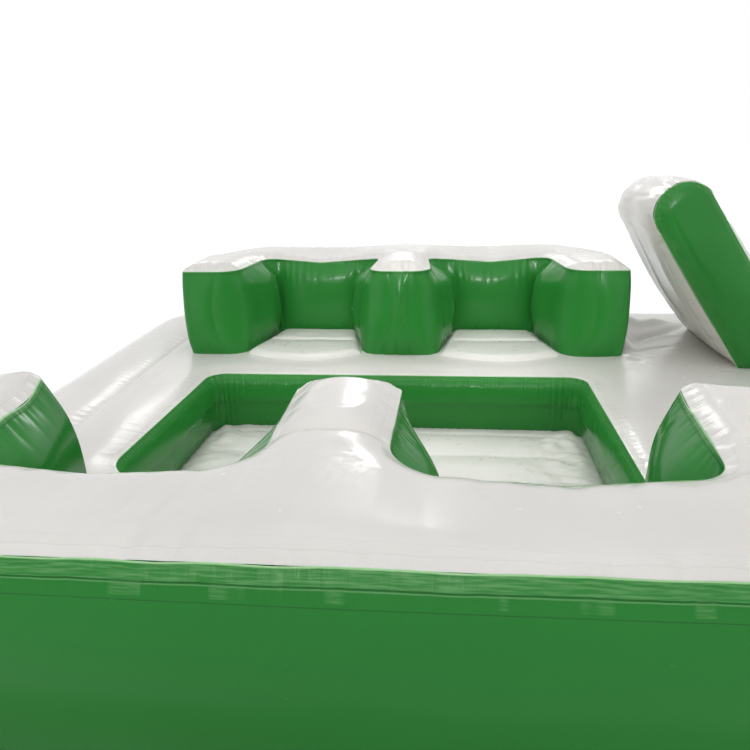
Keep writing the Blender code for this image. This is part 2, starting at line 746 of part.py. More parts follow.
def build_mooring_ring(name, curve, steel, patch_mat, point, normal):
    """A welded round patch whose keeper holds the ring's bar."""
    place = facing(Vector(point) + Vector(normal) * GAP, normal)
    rim = [(0, PATCH_THICKNESS), (PATCH_RADIUS, PATCH_THICKNESS), (PATCH_RADIUS, 0), (0, 0)]
    patch = add_turned(name + "_patch", turned(name + "_patch", rim), patch_mat, place)
    axis = PATCH_THICKNESS + KEEPER_RISE
    bore = RING_WIRE + RUNNING_CLEARANCE * 2
    angles = [math.pi * (2 * k + 1) / KEEPER_SIDES for k in range(KEEPER_SIDES)]
    hole = [Vector((bore * math.cos(a), axis + bore * math.sin(a))) for a in angles]
    wide = bore + KEEPER_WALL
    shell = [Vector((wide * math.cos(a), axis + wide * math.sin(a))) for a in angles]
    for point_2d in shell:
        if point_2d.y < axis:
            point_2d.y = PATCH_THICKNESS / 2
    half = KEEPER_WIDTH / 2
    ends = ((-half, shell), (half, shell), (half, hole), (-half, hole))
    loops = [[Vector((x, p.x, p.y)) for p in ring] for x, ring in ends]
    keeper = add_object(name + "_keeper", skin(name + "_keeper", loops, True), patch_mat, place)
    combine(patch, keeper, "UNION")
    add_object(name + "_ring", curve, steel, place @ Matrix.Translation((0, 0, axis)))


def build_handle(name, mat, point, normal):
    """A webbing grab handle: two welded ends and an arched grip, in one strap."""
    place = facing(Vector(point) + Vector(normal) * GAP, normal)
    half = HANDLE_LENGTH / 2
    grip = half - HANDLE_END
    under, over = [], []
    for k in range(HANDLE_POINTS):
        share = 2 * k / (HANDLE_POINTS - 1) - 1
        rise = (HANDLE_RISE - HANDLE_THICKNESS) * math.cos(share * math.pi / 2) ** 0.8
        under.append(Vector((share * grip, rise)))
        over.append(Vector((share * (grip + HANDLE_THICKNESS * 0.5), rise + HANDLE_THICKNESS)))
    section = [Vector((-half, 0)), *under, Vector((half, 0)), Vector((half, HANDLE_THICKNESS * 0.6))]
    section += [*reversed(over), Vector((-half, HANDLE_THICKNESS * 0.6))]
    loops = [[Vector((p.x, y, p.y)) for p in section] for y in (-HANDLE_WIDTH / 2, HANDLE_WIDTH / 2)]
    add_object(name, skin(name, loops), mat, place)


def build_fittings(green, steel, valve_white, valve_black, webbing):
    end = DECK_LENGTH / 2
    side = DECK_WIDTH / 2
    curve = ring_curve()
    for where, sign in (("front", -1), ("rear", 1)):
        for side_name, x in (("left", -RING_OFFSET_X), ("right", RING_OFFSET_X)):
            name = f"{where}_{side_name}_mooring"
            build_mooring_ring(name, curve, steel, green, (x, sign * side, FITTING_HEIGHT), (0, sign, 0))
    for where, sign in (("left_end", -1), ("right_end", 1)):
        for hand, y in (("front", -HANDLE_OFFSET_Y), ("rear", HANDLE_OFFSET_Y)):
            point = (sign * end, y, FITTING_HEIGHT)
            build_handle(f"{where}_{hand}_grab_handle", webbing, point, (sign, 0, 0))

    meshes = valve_meshes()
    spots = {"deck": (Vector((end, -DECK_VALVE_Y, FITTING_HEIGHT)), (1, 0, 0))}
    middle_third = 8 / 9  # of the full bulge, which the side wall's flat middle stands out
    bench_x = BENCH_WIDTH / 2 + wall_bulge(BENCH_DEPTH) * middle_third
    for where, sign in (("rear", 1), ("front", -1)):
        y = sign * (BENCH_FRONT + BENCH_DEPTH / 2)
        spot = Vector((WELL_X - sign * bench_x, y, DECK_HEIGHT + GAP + BENCH_VALVE_HEIGHT))
        spots[f"{where}_bench"] = (spot, (-sign, 0, 0))
        x = BACKREST_BASE - BACKREST_VALVE_HEIGHT * math.tan(BACKREST_LEAN)
        panel = BACKREST_TO_DECK_MIDDLE + BACKREST_WIDTH / 2 + GAP + SIDE_PANEL_CROWN
        spots[f"{where}_backrest"] = (
            Vector((x, sign * panel, DECK_HEIGHT + BACKREST_VALVE_HEIGHT)),
            (0, sign, 0),
        )
    for name, (point, normal) in spots.items():
        place = facing(point + Vector(normal) * GAP, normal)
        build_valve(name + "_valve", meshes, valve_white, valve_black, place)
    relief = facing(Vector((end + GAP, DECK_VALVE_Y, FITTING_HEIGHT)), (1, 0, 0))
    build_relief_valve(valve_white, valve_black, relief)


def main():
    clear_scene()
    collection(COLLECTION)
    collection("cutters", hidden=True)
    green = material("green_tarpaulin", srgb(52, 128, 58), 0.22)
    white = material("white_tarpaulin", srgb(226, 222, 219), 0.22)
    floor_white = material("floor_tarpaulin", srgb(205, 204, 196), 0.35)
    steel = material("stainless_steel", srgb(190, 192, 194), 0.25, 1.0)
    valve_white = material("valve_plastic", srgb(214, 214, 210), 0.4)
    valve_black = material("cap_plastic", srgb(42, 44, 46), 0.4)
    webbing = material("webbing", srgb(46, 92, 52), 0.8)
    build_side_panel(green)
    build_tube_top(white)
    build_platform(white)
    build_well_lining(green)
    build_well_floor(floor_white)
    build_benches(green, white, floor_white)
    for where, sign in (("rear", 1), ("front", -1)):
        build_backrest(f"{where}_backrest", sign * BACKREST_TO_DECK_MIDDLE, white, green)
    build_fittings(green, steel, valve_white, valve_black, webbing)


main()
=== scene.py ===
"""Finish of the inflatable floating island: every panel as inflated, welded tarpaulin with its seams,
puckers and folds, its fittings in detail, a pale studio and the camera.

Metres, in the frame's own axes. Benches are drawn in their own axes first: X across, Y as the depth
counted from the well's middle, Z up from the deck. The front bench is the rear one turned half round.
"""

import math

import bpy
import numpy as np
from mathutils import Matrix, Vector, geometry, kdtree


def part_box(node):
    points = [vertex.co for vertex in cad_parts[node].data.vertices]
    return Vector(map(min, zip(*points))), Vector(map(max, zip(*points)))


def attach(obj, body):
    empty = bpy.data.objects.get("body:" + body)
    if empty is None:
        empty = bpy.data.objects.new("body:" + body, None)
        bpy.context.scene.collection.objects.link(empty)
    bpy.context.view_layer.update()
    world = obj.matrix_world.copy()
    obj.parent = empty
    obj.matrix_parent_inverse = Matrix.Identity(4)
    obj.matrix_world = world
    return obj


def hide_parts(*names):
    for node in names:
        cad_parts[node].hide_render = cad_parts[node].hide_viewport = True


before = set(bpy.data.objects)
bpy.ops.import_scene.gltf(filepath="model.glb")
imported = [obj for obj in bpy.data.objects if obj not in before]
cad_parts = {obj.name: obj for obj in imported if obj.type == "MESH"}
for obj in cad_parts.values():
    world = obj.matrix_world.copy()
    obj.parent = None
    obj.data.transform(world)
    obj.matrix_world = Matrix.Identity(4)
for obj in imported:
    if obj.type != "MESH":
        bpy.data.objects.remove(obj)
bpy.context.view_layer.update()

# Deck and well: from the frame, or where it doesn't give them, worked out or guessed from the photograph
side_low, side_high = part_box("perimeter_side_panel")
lining_low, lining_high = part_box("well_lining")
DECK_LENGTH = side_high.x - side_low.x
DECK_WIDTH = side_high.y - side_low.y
DECK_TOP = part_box("deck_platform")[1].z
SIDE_SEAM = side_high.z
FLOOR_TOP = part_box("well_floor_mat")[1].z
LINING_THICKNESS = 0.05
WELL_X = (lining_low.x + lining_high.x) / 2
WELL_LENGTH = lining_high.x - lining_low.x - 2 * LINING_THICKNESS
WELL_WIDTH = lining_high.y - lining_low.y - 2 * LINING_THICKNESS
WELL_CORNER = 0.10
RIM_DROP = 0.014  # of the deck's edge at the lining
RIM_PILLOW = 0.006  # how far the deck swells over its nominal height behind the rim
RIM_REACH = 0.19
DECK_CORNER = 0.30
TUBE_WIDTH = 0.51
VALLEY_DEPTH = 0.020  # of the deck where the tube's seam holds it down
VALLEY_REACH = 0.130

# Benches
BENCH_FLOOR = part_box("rear_bench_walls")[0].z
BENCH_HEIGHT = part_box("rear_bench_walls")[1].z - BENCH_FLOOR
BENCH_WIDTH = 2.58
BENCH_FRONT = 0.992  # from the well's middle
BENCH_DEPTH = 0.933
CREASE_DEPTH = 0.400  # from the bench's front to where its back's top begins
RECESS_DEPTH = 0.530
RECESS_SIDES, RECESS_BACKS = (1, 3, 5, 7), (2, 6)  # walls of the outline, in order
WALL_BULGE = 0.045  # the most, where BULGE_PER_LENGTH gives more
CORNER_SHARE = 0.4  # of a wall's bulge that is left at its ends
BULGE_PER_LENGTH = 0.08
REAR_BENCH_ASIDE = 0.018  # how far the rear bench sits off the well's middle

# Backrests
LEAN = math.radians(33.7)
SLAB_THICKNESS = 0.307
SLAB_HEIGHT = 0.986
SLAB_WIDTH = 0.84
SLAB_Y = 1.22
SLAB_X = WELL_X + 2.05
SLAB_UP = np.array([-math.sin(LEAN), math.cos(LEAN)])
SLAB_FAR_DROP = 0.040  # how much shorter the backrest is at its outer side

# Fittings
RING_AXIS = 0.0105  # of the ring's wire over the side wall
PATCH_RADIUS = 0.0450

WELD_WIDTH = 0.025

GREEN = (0.026, 0.222, 0.034)
# The front bench's walls get a darker copy of the same green than every other green panel: painted shade.
GREEN_FRONT_PAINTED_SHADE = (0.013, 0.194, 0.021)
GREEN_EDGE = (0.36, 0.62, 0.30)
WHITE = (0.704, 0.670, 0.626)
WHITE_EDGE = (0.62, 0.66, 0.58)
FLOOR_WHITE = (0.765, 0.745, 0.685)
PLASTIC = (0.66, 0.67, 0.64)
CAP_BLACK = (0.028, 0.030, 0.032)
WEBBING = (0.030, 0.115, 0.038)

FLOOR_REACH = 40.0  # of the studio's floor, each way
CAMERA_PLACE = (WELL_X + 0.2795, -2.942, 1.60)
CAMERA_PITCH, CAMERA_YAW, CAMERA_ROLL = 0.3225, 0.1047, -0.0221
CAMERA_LENS = 33.22


# Curves and noise


def wave(x, seed):
    """Smooth random curve from -1 to 1, with one free value per unit of x."""
    table = np.random.default_rng(seed).uniform(-1, 1, 1024)
    cell = np.floor(x).astype(int)
    share = x - cell
    share = share * share * (3 - 2 * share)
    return table[cell % 1024] * (1 - share) + table[(cell + 1) % 1024] * share


def field(x, y, seed):
    """Smooth random surface from -1 to 1, with one free value per unit square."""
    table = np.random.default_rng(seed).uniform(-1, 1, (128, 128))
    i, j = np.floor(x).astype(int), np.floor(y).astype(int)
    u, v = x - i, y - j
    u, v = u * u * (3 - 2 * u), v * v * (3 - 2 * v)
    low = table[i % 128, j % 128] * (1 - u) + table[(i + 1) % 128, j % 128] * u
    high = table[i % 128, (j + 1) % 128] * (1 - u) + table[(i + 1) % 128, (j + 1) % 128] * u
    return low * (1 - v) + high * v


def mix(start, end, share):
    return start + (end - start) * share


def smooth(x, start=0.0, end=1.0):
    share = np.clip((x - start) / (end - start), 0, 1)
    return share * share * (3 - 2 * share)


def hill(x, middle, half):
    """1 at the middle, 0 from half a width away."""
    return np.cos(np.clip((x - middle) / half, -1, 1) * math.pi / 2) ** 2


def bell(x, middle, width):
    return np.exp(-(((x - middle) / width) ** 2))


def rounded(share, power=2.2):
    """From 0 up to 1, steep at first, like the edge of a cushion."""
    return 1 - (1 - np.clip(share, 0, 1)) ** power


def graded(length, first, biggest, growth=1.22):
    """Distances from 0 to a length, in steps that grow from the first to the biggest."""
    places, step = [0.0], first
    while places[-1] + step < length:
        places.append(places[-1] + step)
        step = min(step * growth, biggest)
    return np.array(places) * length / places[-1]


def graded_both(length, first, biggest):
    half = graded(length / 2, first, biggest)
    return np.concatenate([half, length - half[-2::-1]])


def puckers(along, away, pitch, depth, reach, seed, hold=0.006):
    """Inward folds that start at a seam: round ridges and sharp valleys, uneven in every way."""
    phase = along / pitch + 0.5 * wave(along / (2.7 * pitch), seed)
    valley = (1 - np.abs(np.sin(math.pi * phase))) ** 1.4
    strength = 0.25 + 0.75 * (0.5 + 0.5 * wave(along / (1.7 * pitch), seed + 1))
    length = reach * (0.60 + 0.40 * wave(along / (1.3 * pitch), seed + 2))
    return -depth * strength * valley * (1 - np.exp(-away / hold)) * bell(away, 0, length)


def ridge_line(x, y, start, end, width, height, bend):
    """A long soft ridge, or a crease where its height is negative, from start to end."""
    a, b = np.array(start, float), np.array(end, float)
    length = np.linalg.norm(b - a)
    axis = (b - a) / length
    along = ((x - a[0]) * axis[0] + (y - a[1]) * axis[1]) / length
    off = (y - a[1]) * axis[0] - (x - a[0]) * axis[1] - bend * 4 * along * (1 - along)
    ends = smooth(along, -0.05, 0.3) * (1 - smooth(along, 0.7, 1.05))
    return height * ends * bell(off, 0, width)


def fan(x, y, centre, toward, spread, count, inner, outer, depth, seed):
    """Folds that radiate from a point, most of them within a spread about one direction (radians)."""
    dx, dy = x - centre[0], y - centre[1]
    radius = np.hypot(dx, dy) + 1e-6
    angle = np.arctan2(dy, dx) - toward
    angle = (angle + math.pi) % (2 * math.pi) - math.pi
    phase = count * angle / spread + 0.7 * wave(radius / (0.35 * outer) + 7.3, seed)
    valley = 1 - np.abs(np.sin(math.pi * phase)) ** 0.8
    strength = 0.35 + 0.65 * (0.5 + 0.5 * wave(phase * 0.9 + 50, seed + 1))
    within = np.exp(-((angle / spread) ** 4))
    shape = smooth(radius, inner * 0.3, inner) * bell(radius, 0, outer)
    return -depth * valley * strength * within * shape


# Outlines


def trace(corners, counts, arc_points):
    """Points round an outline with rounded corners (x, y, radius), anticlockwise.

    Gives the points, the wall that each is on (-1 on a corner), and its share along that wall.
    """
    points = np.array([c[:2] for c in corners], float)
    count = len(points)
    ahead = np.roll(points, -1, 0) - points
    lengths = np.linalg.norm(ahead, axis=1)
    ahead = ahead / lengths[:, None]
    arcs = []
    for i in range(count):
        before, after = ahead[i - 1], ahead[i]
        turn = math.atan2(before[0] * after[1] - before[1] * after[0], float(before @ after))
        slope = abs(math.tan(turn / 2))
        reach = min(corners[i][2] * slope, 0.49 * lengths[i - 1], 0.49 * lengths[i])
        start = points[i] - before * reach
        inner = np.array([-before[1], before[0]]) * math.copysign(reach / slope, turn)
        angles = turn * np.linspace(0, 1, arc_points)
        spoke = -inner
        cos, sin = np.cos(angles), np.sin(angles)
        turned = np.c_[spoke[0] * cos - spoke[1] * sin, spoke[0] * sin + spoke[1] * cos]
        arcs.append(start + inner + turned)
    path, walls, shares = [], [], []
    for i in range(count):
        path.append(arcs[i])
        walls.append(np.full(arc_points, -1))
        shares.append(np.zeros(arc_points))
        share = np.linspace(0, 1, counts[i] + 2)[1:-1, None]
        path.append(arcs[i][-1] * (1 - share) + arcs[(i + 1) % count][0] * share)
        walls.append(np.full(counts[i], i))
        shares.append(share[:, 0])
    return np.concatenate(path), np.concatenate(walls), np.concatenate(shares)


def wall_counts(corners, spacing):
    points = np.array([c[:2] for c in corners], float)
    lengths = np.linalg.norm(np.roll(points, -1, 0) - points, axis=1)
    return [max(2, round(length / spacing)) for length in lengths], lengths


def rectangle(x_low, x_high, y_low, y_high, radius):
    corners = ((x_low, y_low), (x_high, y_low), (x_high, y_high), (x_low, y_high))
    return [(*corner, radius) for corner in corners]


def loop_normals(loop):
    """Outward normals of a closed loop, anticlockwise."""
    tangent = np.roll(loop, -1, 0) - np.roll(loop, 1, 0)
    normal = np.c_[tangent[:, 1], -tangent[:, 0]]
    return normal / (np.linalg.norm(normal, axis=1)[:, None] + 1e-12)


def at_height(loop, z):
    return np.c_[loop, np.full(len(loop), z)]


def path_lengths(path):
    return np.concatenate([[0], np.cumsum(np.linalg.norm(np.diff(path, axis=0), axis=1))])


def loop_lengths(loop):
    steps = np.linalg.norm(np.roll(loop, -1, 0) - loop, axis=1)
    return np.concatenate([[0], np.cumsum(steps)[:-1]])


def nearest(loop, points):
    """Each point's distance to a closed loop, and the place along the loop that it is next to."""
    tree = kdtree.KDTree(len(loop))
    for i, (x, y) in enumerate(loop.tolist()):
        tree.insert((x, y, 0), i)
    tree.balance()
    index = np.array([tree.find((x, y, 0))[1] for x, y in points.tolist()])
    along = loop_lengths(loop)
    best = np.full(len(points), np.inf)
    place = np.zeros(len(points))
    for first, second in ((index, (index + 1) % len(loop)), ((index - 1) % len(loop), index)):
        a, b = loop[first], loop[second]
        edge = b - a
        length = np.linalg.norm(edge, axis=1) + 1e-12
        share = np.clip(((points - a) * edge).sum(1) / length**2, 0, 1)
        distance = np.linalg.norm(points - a - edge * share[:, None], axis=1)
        closer = distance < best
        best = np.where(closer, distance, best)
        place = np.where(closer, along[first] + share * length, place)
    return best, place


def inside(loop, points):
    """Which points lie inside a closed loop."""
    result = np.zeros(len(points), bool)
    x, y = points[:, 0], points[:, 1]
    for (ax, ay), (bx, by) in zip(loop, np.roll(loop, -1, 0)):
        if ay != by:
            crosses = ((ay > y) != (by > y)) & (x < (bx - ax) * (y - ay) / (by - ay) + ax)
            result ^= crosses
    return result


def lid(outer, spacing, rings, hole=None, lines=(), wanted=None):
    """Triangles that fill an outline: points (n, 2) and faces. Rows of points follow each edge."""
    loops = [outer] if hole is None else [outer, hole]
    points = list(loops)
    for loop, sign in zip(loops, (-1, 1)):
        normals = loop_normals(loop) * sign
        for k, offset in enumerate(rings):
            row = (loop + normals * offset)[k % 2 :: 1 + 3 * k // len(rings)]
            points.append(row[nearest(loop, row)[0] > 0.93 * offset])
    low, high = outer.min(0), outer.max(0)
    xs, ys = np.arange(low[0], high[0], spacing), np.arange(low[1], high[1], spacing * 0.866)
    grid_x, grid_y = np.meshgrid(xs, ys)
    grid_x[1::2] += spacing / 2
    grid = np.c_[grid_x.ravel(), grid_y.ravel()]
    grid = grid[inside(outer, grid)]
    if wanted is not None:
        grid = grid[wanted(grid)]
    for loop in loops:
        grid = grid[nearest(loop, grid)[0] > rings[-1] + 0.5 * spacing]
    if hole is not None:
        grid = grid[~inside(hole, grid)]
    points.append(grid)
    edges, base = [], 0
    for loop in loops:
        edges += [(base + i, base + (i + 1) % len(loop)) for i in range(len(loop))]
        base += len(loop)
    total = sum(len(p) for p in points)
    for line in lines:
        points.append(line)
        edges += [(total + i, total + i + 1) for i in range(len(line) - 1)]
        total += len(line)
    flat = [Vector(p) for p in np.concatenate(points).tolist()]
    verts, _, faces, *_ = geometry.delaunay_2d_cdt(flat, edges, [], 1, 1e-6, False)
    verts, faces = np.array([tuple(v) for v in verts]), np.array([tuple(f) for f in faces])
    middles = verts[faces].mean(1)
    keep = inside(outer, middles)
    if hole is not None:
        keep &= ~inside(hole, middles)
    return verts, faces[keep]


# Meshes


def grid_faces(rows, columns, closed=True):
    index = np.arange(rows * columns).reshape(rows, columns)
    if closed:
        index = np.c_[index, index[:, 0]]
    low, high = index[:-1], index[1:]
    return np.stack([low[:, :-1], low[:, 1:], high[:, 1:], high[:, :-1]], -1).reshape(-1, 4)


def pushed(grid, push):
    """A closed grid of points, moved along its normals."""
    normal = np.cross(np.roll(grid, -1, 1) - np.roll(grid, 1, 1), np.gradient(grid, axis=0))
    return grid + normal / (np.linalg.norm(normal, axis=2)[..., None] + 1e-12) * push[..., None]


def make(name, verts, faces, mat, slot, node, weld=None, along=None, body="island", sharp=None):
    """A piece: it rides on its body, replaces its CAD node and carries its seam coordinates."""
    if sharp is None:
        used, order = np.unique(faces, return_inverse=True)
        verts, faces = verts[used], order.reshape(faces.shape).tolist()
        weld, along = np.ravel(weld)[used], np.ravel(along)[used]
    mesh = bpy.data.meshes.new(name)
    mesh.from_pydata(verts.tolist(), [], faces)
    for label, values in (("weld", weld), ("along", along)):
        if values is not None:
            values = np.asarray(values, np.float32)
            mesh.attributes.new(label, "FLOAT", "POINT").data.foreach_set("value", values)
    mesh.validate()
    mesh.shade_smooth()
    if sharp is not None:
        mesh.set_sharp_from_angle(angle=math.radians(sharp))
    mesh.materials.append(mat)
    obj = bpy.data.objects.new(name, mesh)
    bpy.context.scene.collection.objects.link(obj)
    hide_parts(node)
    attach(obj, body)
    return obj


def make_grid(name, grid, mat, slot, node, weld, along, flip=False, closed=True):
    faces = grid_faces(*grid.shape[:2], closed)
    make(name, grid.reshape(-1, 3), faces[:, ::-1] if flip else faces, mat, slot, node, weld, along)


def turned_place(points, front):
    """Bench axes to the frame's."""
    sign, aside = (-1, 0.0) if front else (1, REAR_BENCH_ASIDE)
    return points * (sign, sign, 1) + (WELL_X + aside, 0, BENCH_FLOOR)


# Materials


class Wire:
    """An output in a shader's node tree. Each sum with it is a new node in the same tree."""

    def __init__(self, socket):
        self.socket, self.tree = socket, socket.id_data

    def maths(self, kind, *others):
        return add_node(self.tree, "ShaderNodeMath", dict(enumerate((self, *others))), operation=kind)

    def __add__(self, other):
        return self.maths("ADD", other)

    def __mul__(self, other):
        return self.maths("MULTIPLY", other)

    def larger(self, other):
        return self.maths("MAXIMUM", other)

    def near(self, value, within):
        return self.maths("COMPARE", value, within)

    def remap(self, low, high, to_low, to_high):
        inputs = {"Value": self, "From Min": low, "From Max": high, "To Min": to_low, "To Max": to_high}
        return add_node(self.tree, "ShaderNodeMapRange", inputs, interpolation_type="SMOOTHSTEP")

    def noise(self, scale, detail, rough=0.5):
        inputs = {"Vector": self, "Scale": scale, "Detail": detail, "Roughness": rough}
        return add_node(self.tree, "ShaderNodeTexNoise", inputs)

    def between(self, first, second):
        """A colour from the first, where this is 0, to the second."""
        inputs = {"Fac": self, "Color1": first, "Color2": second}
        return add_node(self.tree, "ShaderNodeMixRGB", inputs)

    def bump(self, distance, strength, over=None):
        inputs = {"Height": self, "Distance": distance, "Strength": strength}
        return add_node(self.tree, "ShaderNodeBump", inputs | ({"Normal": over} if over else {}))


def plug(target, inputs):
    """Sets a node's inputs, each to a constant or to a wire."""
    for key, value in inputs.items():
        if isinstance(value, Wire):
            value.tree.links.new(value.socket, target.inputs[key])
        else:
            target.inputs[key].default_value = value


def add_node(tree, kind, inputs=(), output=0, **settings):
    made = tree.nodes.new(kind)
    for key, value in settings.items():
        setattr(made, key, value)
    plug(made, dict(inputs))
    return Wire(made.outputs[output])


def start_material(name):
    mat = bpy.data.materials.new(name)
    mat.use_nodes = True
    tree = mat.node_tree
    return mat, tree, tree.nodes["Principled BSDF"]


def object_coords(tree):
    return add_node(tree, "ShaderNodeTexCoord", output="Object")


def seam_coords(tree):
    """How far the surface is from the nearest weld, and along it."""
    names = ("weld", "along")
    return [add_node(tree, "ShaderNodeAttribute", output="Fac", attribute_name=name) for name in names]


def tone(color, share=1.0):
    return (*[c * share for c in color], 1)


def striped(along, across, detail=2):
    """Noise in seam coordinates that are already scaled."""
    return add_node(along.tree, "ShaderNodeCombineXYZ", {0: along, 1: across}).noise(1.0, detail)


def tarpaulin(name, color, edge, roughness, specular, coat, lines):
    """Glossy coated fabric: faint cast of the scrim, soft waves, scuffs, and the weld next to a seam, with
    painted sheen and glints along the weld.
    """
    mat, tree, shader = start_material(name)
    coords, (weld, along) = object_coords(tree), seam_coords(tree)
    mottle = coords.noise(22.0, 4, 0.6)
    streak = striped(along * 14.0, weld * 300.0)
    band = weld.remap(WELD_WIDTH - 0.001, WELD_WIDTH, 1, 0)
    skirt = weld.remap(1.75 * WELD_WIDTH, 1.8 * WELD_WIDTH, 1, 0)
    # Painted glints: pale patches along the skirt below the weld, and pale streaks on the weld band as
    # painted sheen.
    glint_blocks = striped(along * 11.0, 0.0, detail=1).remap(0.55, 0.60, 0, 1)
    painted_glint_patch = skirt * glint_blocks * streak.remap(0.4, 0.6, 0.15, 0.5)
    painted_sheen_band = (band * streak.remap(0.35, 0.70, 0.10, 0.80)).larger(painted_glint_patch)
    pale_line = weld.near(WELD_WIDTH + 0.0030, 0.0010) * (0.7 * lines)
    dark_line = weld.near(WELD_WIDTH + 0.0005, 0.0011).larger(weld.near(2 * WELD_WIDTH, 0.0007))
    # The tone of the painted sheen and glints, and of the pale line beside the weld.
    pale = tone([mix(c, e, 0.30) for c, e in zip(color, edge)])
    tint = coords.noise(1.7, 4).remap(0.3, 0.7, 0, 1).between(tone(color, 0.96), tone(color, 1.03))
    tint = mottle.remap(0.55, 0.8, 0, 0.05).between(tint, tone(color, 0.80))
    # Painted sheen and glints on the weld band, and the pale line beside it.
    tint = (painted_sheen_band * lines).larger(pale_line).between(tint, pale)
    tint = (dark_line * (0.55 * lines)).between(tint, tone(color, 0.35))
    tint = weld.remap(0.0016, 0.0034, 1, 0).between(tint, tone(edge))
    ripple = striped(along * 58.0, weld * 9.0) * weld.remap(0.0, 0.085, 1, 0)
    ribs = band + weld.remap(0.049, 0.051, 1, 0) * 0.5 + streak * band * 0.8
    weave = add_node(
        tree, "ShaderNodeTexVoronoi", {"Vector": coords, "Scale": 620.0}, feature="F1", distance="CHEBYCHEV"
    )
    normal = mottle.bump(0.0003, 0.25, coords.noise(7.0, 2).bump(0.002, 0.30))
    normal = ribs.bump(0.0008, 0.3 + 0.5 * lines, ripple.bump(0.004, 0.7, normal))
    plug(shader, {
        "Base Color": tint,
        "Roughness": mottle.remap(0.3, 0.75, roughness * 0.9, roughness * 1.15) + band * 0.07,
        "Specular IOR Level": specular, "Coat Weight": coat, "Coat Roughness": 0.09,
        "Normal": weave.bump(0.00012, 0.5, normal),
    })
    return mat


def plain_plastic(name, color, roughness):
    """Moulded plastic: fine spark-eroded grain and a faint flow of tone."""
    mat, tree, shader = start_material(name)
    coords = object_coords(tree)
    grain = coords.noise(2600.0, 2)
    plug(shader, {
        "Base Color": coords.noise(60.0, 3).remap(0.3, 0.7, 0, 1).between(tone(color, 0.92), tone(color)),
        "Roughness": grain.remap(0.3, 0.7, roughness * 0.85, roughness * 1.2),
        "Specular IOR Level": 0.5, "Normal": grain.bump(0.00006, 0.5),
    })
    return mat


def bent_steel(name):
    """Polished wire with fine drawing marks."""
    mat, tree, shader = start_material(name)
    marks = object_coords(tree).noise(900.0, 3, 0.6)
    plug(shader, {
        "Base Color": marks.remap(0.3, 0.7, 0, 1).between((0.56, 0.57, 0.58, 1), (0.68, 0.69, 0.70, 1)),
        "Metallic": 1.0, "Roughness": marks.remap(0.2, 0.8, 0.14, 0.32), "Normal": marks.bump(0.00003, 0.6),
    })
    return mat


def woven_webbing(name, color):
    """Woven strap: along runs the length in metres, weld is the distance from the nearer edge."""
    mat, tree, shader = start_material(name)
    weld, along = seam_coords(tree)
    rows = (along * (2 * math.pi / 0.0022)).maths("SINE")
    weave = rows * (weld * (2 * math.pi / 0.0026)).maths("SINE")
    stitch = weld.near(0.0040, 0.0006) * rows.remap(0.0, 0.2, 0, 1)
    tint = weave.remap(-1, 1, 0, 1).between(tone(color, 0.55), tone(color))
    plug(shader, {
        "Base Color": stitch.between(tint, (0.30, 0.42, 0.30, 1)),
        "Roughness": 0.85, "Sheen Weight": 0.25, "Normal": weave.bump(0.0004, 0.8),
    })
    return mat


# Benches


def bench_corners(level, front):
    """The bench's outline, from 0 at the deck to 1 at the top seam, where the recess corners open out."""
    open_up = float(smooth(level, 0.78, 1.0))
    middle = 1 - (2 * level - 1) ** 2
    if front:
        widen, arm_front, arm_round = mix(-0.012, 0.010, level), 0.950, mix(0.035, 0.10, middle)
        divider_front, divider_round = mix(0.168, 0.157, level), mix(0.035, 0.075, middle)
    else:
        widen, arm_front, arm_round = -0.003, 0.962, mix(0.12, 0.20, middle)
        divider_front, divider_round = mix(0.222, 0.180, level), mix(0.10, 0.19, middle)
    half = BENCH_WIDTH / 2 + widen
    recess = BENCH_FRONT + RECESS_DEPTH + 0.012 * open_up
    far, far_round = BENCH_FRONT + BENCH_DEPTH, mix(0.08, 0.20, level)
    left = [
        (-half, BENCH_FRONT, mix(0.045, 0.015, level)),
        (-mix(0.942, arm_front, level), BENCH_FRONT, arm_round),
        (-mix(0.826, 0.840, level) - 0.062 * open_up, recess, mix(0.012, 0.085, open_up)),
        (-mix(0.305, 0.280, level) + 0.130 * open_up, recess, mix(0.012, 0.125, open_up)),
        (-divider_front, BENCH_FRONT, divider_round),
    ]
    right = [(-x, y, radius) for x, y, radius in reversed(left)]
    return left + right + [(half, far, far_round), (-half, far, far_round)]


def seam_height(x, y):
    """Height of a bench's top seam over its nominal one: it sags behind the recesses and at the back."""
    x, depth = np.abs(x), y - BENCH_FRONT
    sag = np.interp(x, [0.0, 0.14, 0.24, 0.55, 0.83, 0.95, 1.3], [0.0, 0.0, 0.016, 0.036, 0.013, 0.004, 0.0])
    corner = smooth(x, 0.95, 1.25) * smooth(depth, 0.5, BENCH_DEPTH)
    return -sag * smooth(depth, 0.36, 0.52) * (1 - smooth(depth, 0.60, 0.98)) - 0.018 * corner


def crown_height(x, y, away):
    """How far a bench's top stands over its seam."""
    x, depth = np.abs(x), y - BENCH_FRONT
    places = [0, 0.2, 0.4, 0.6, 0.75, 0.95, 1.1, 1.29]
    back = np.interp(x, places, [0.038, 0.031, 0.028, 0.029, 0.031, 0.030, 0.022, 0.012])
    front = np.where(x < 0.5, 0.058 * (1 - 0.40 * (x / 0.15) ** 2), 0.046)
    crown = mix(front, back, smooth(depth, CREASE_DEPTH - 0.06, CREASE_DEPTH + 0.14))
    return crown * rounded(away / 0.13, 3)


def peak(x, y, place, width):
    """1 at a place on the bench's front edge."""
    return bell(x, place, width) * bell(y, BENCH_FRONT, width)


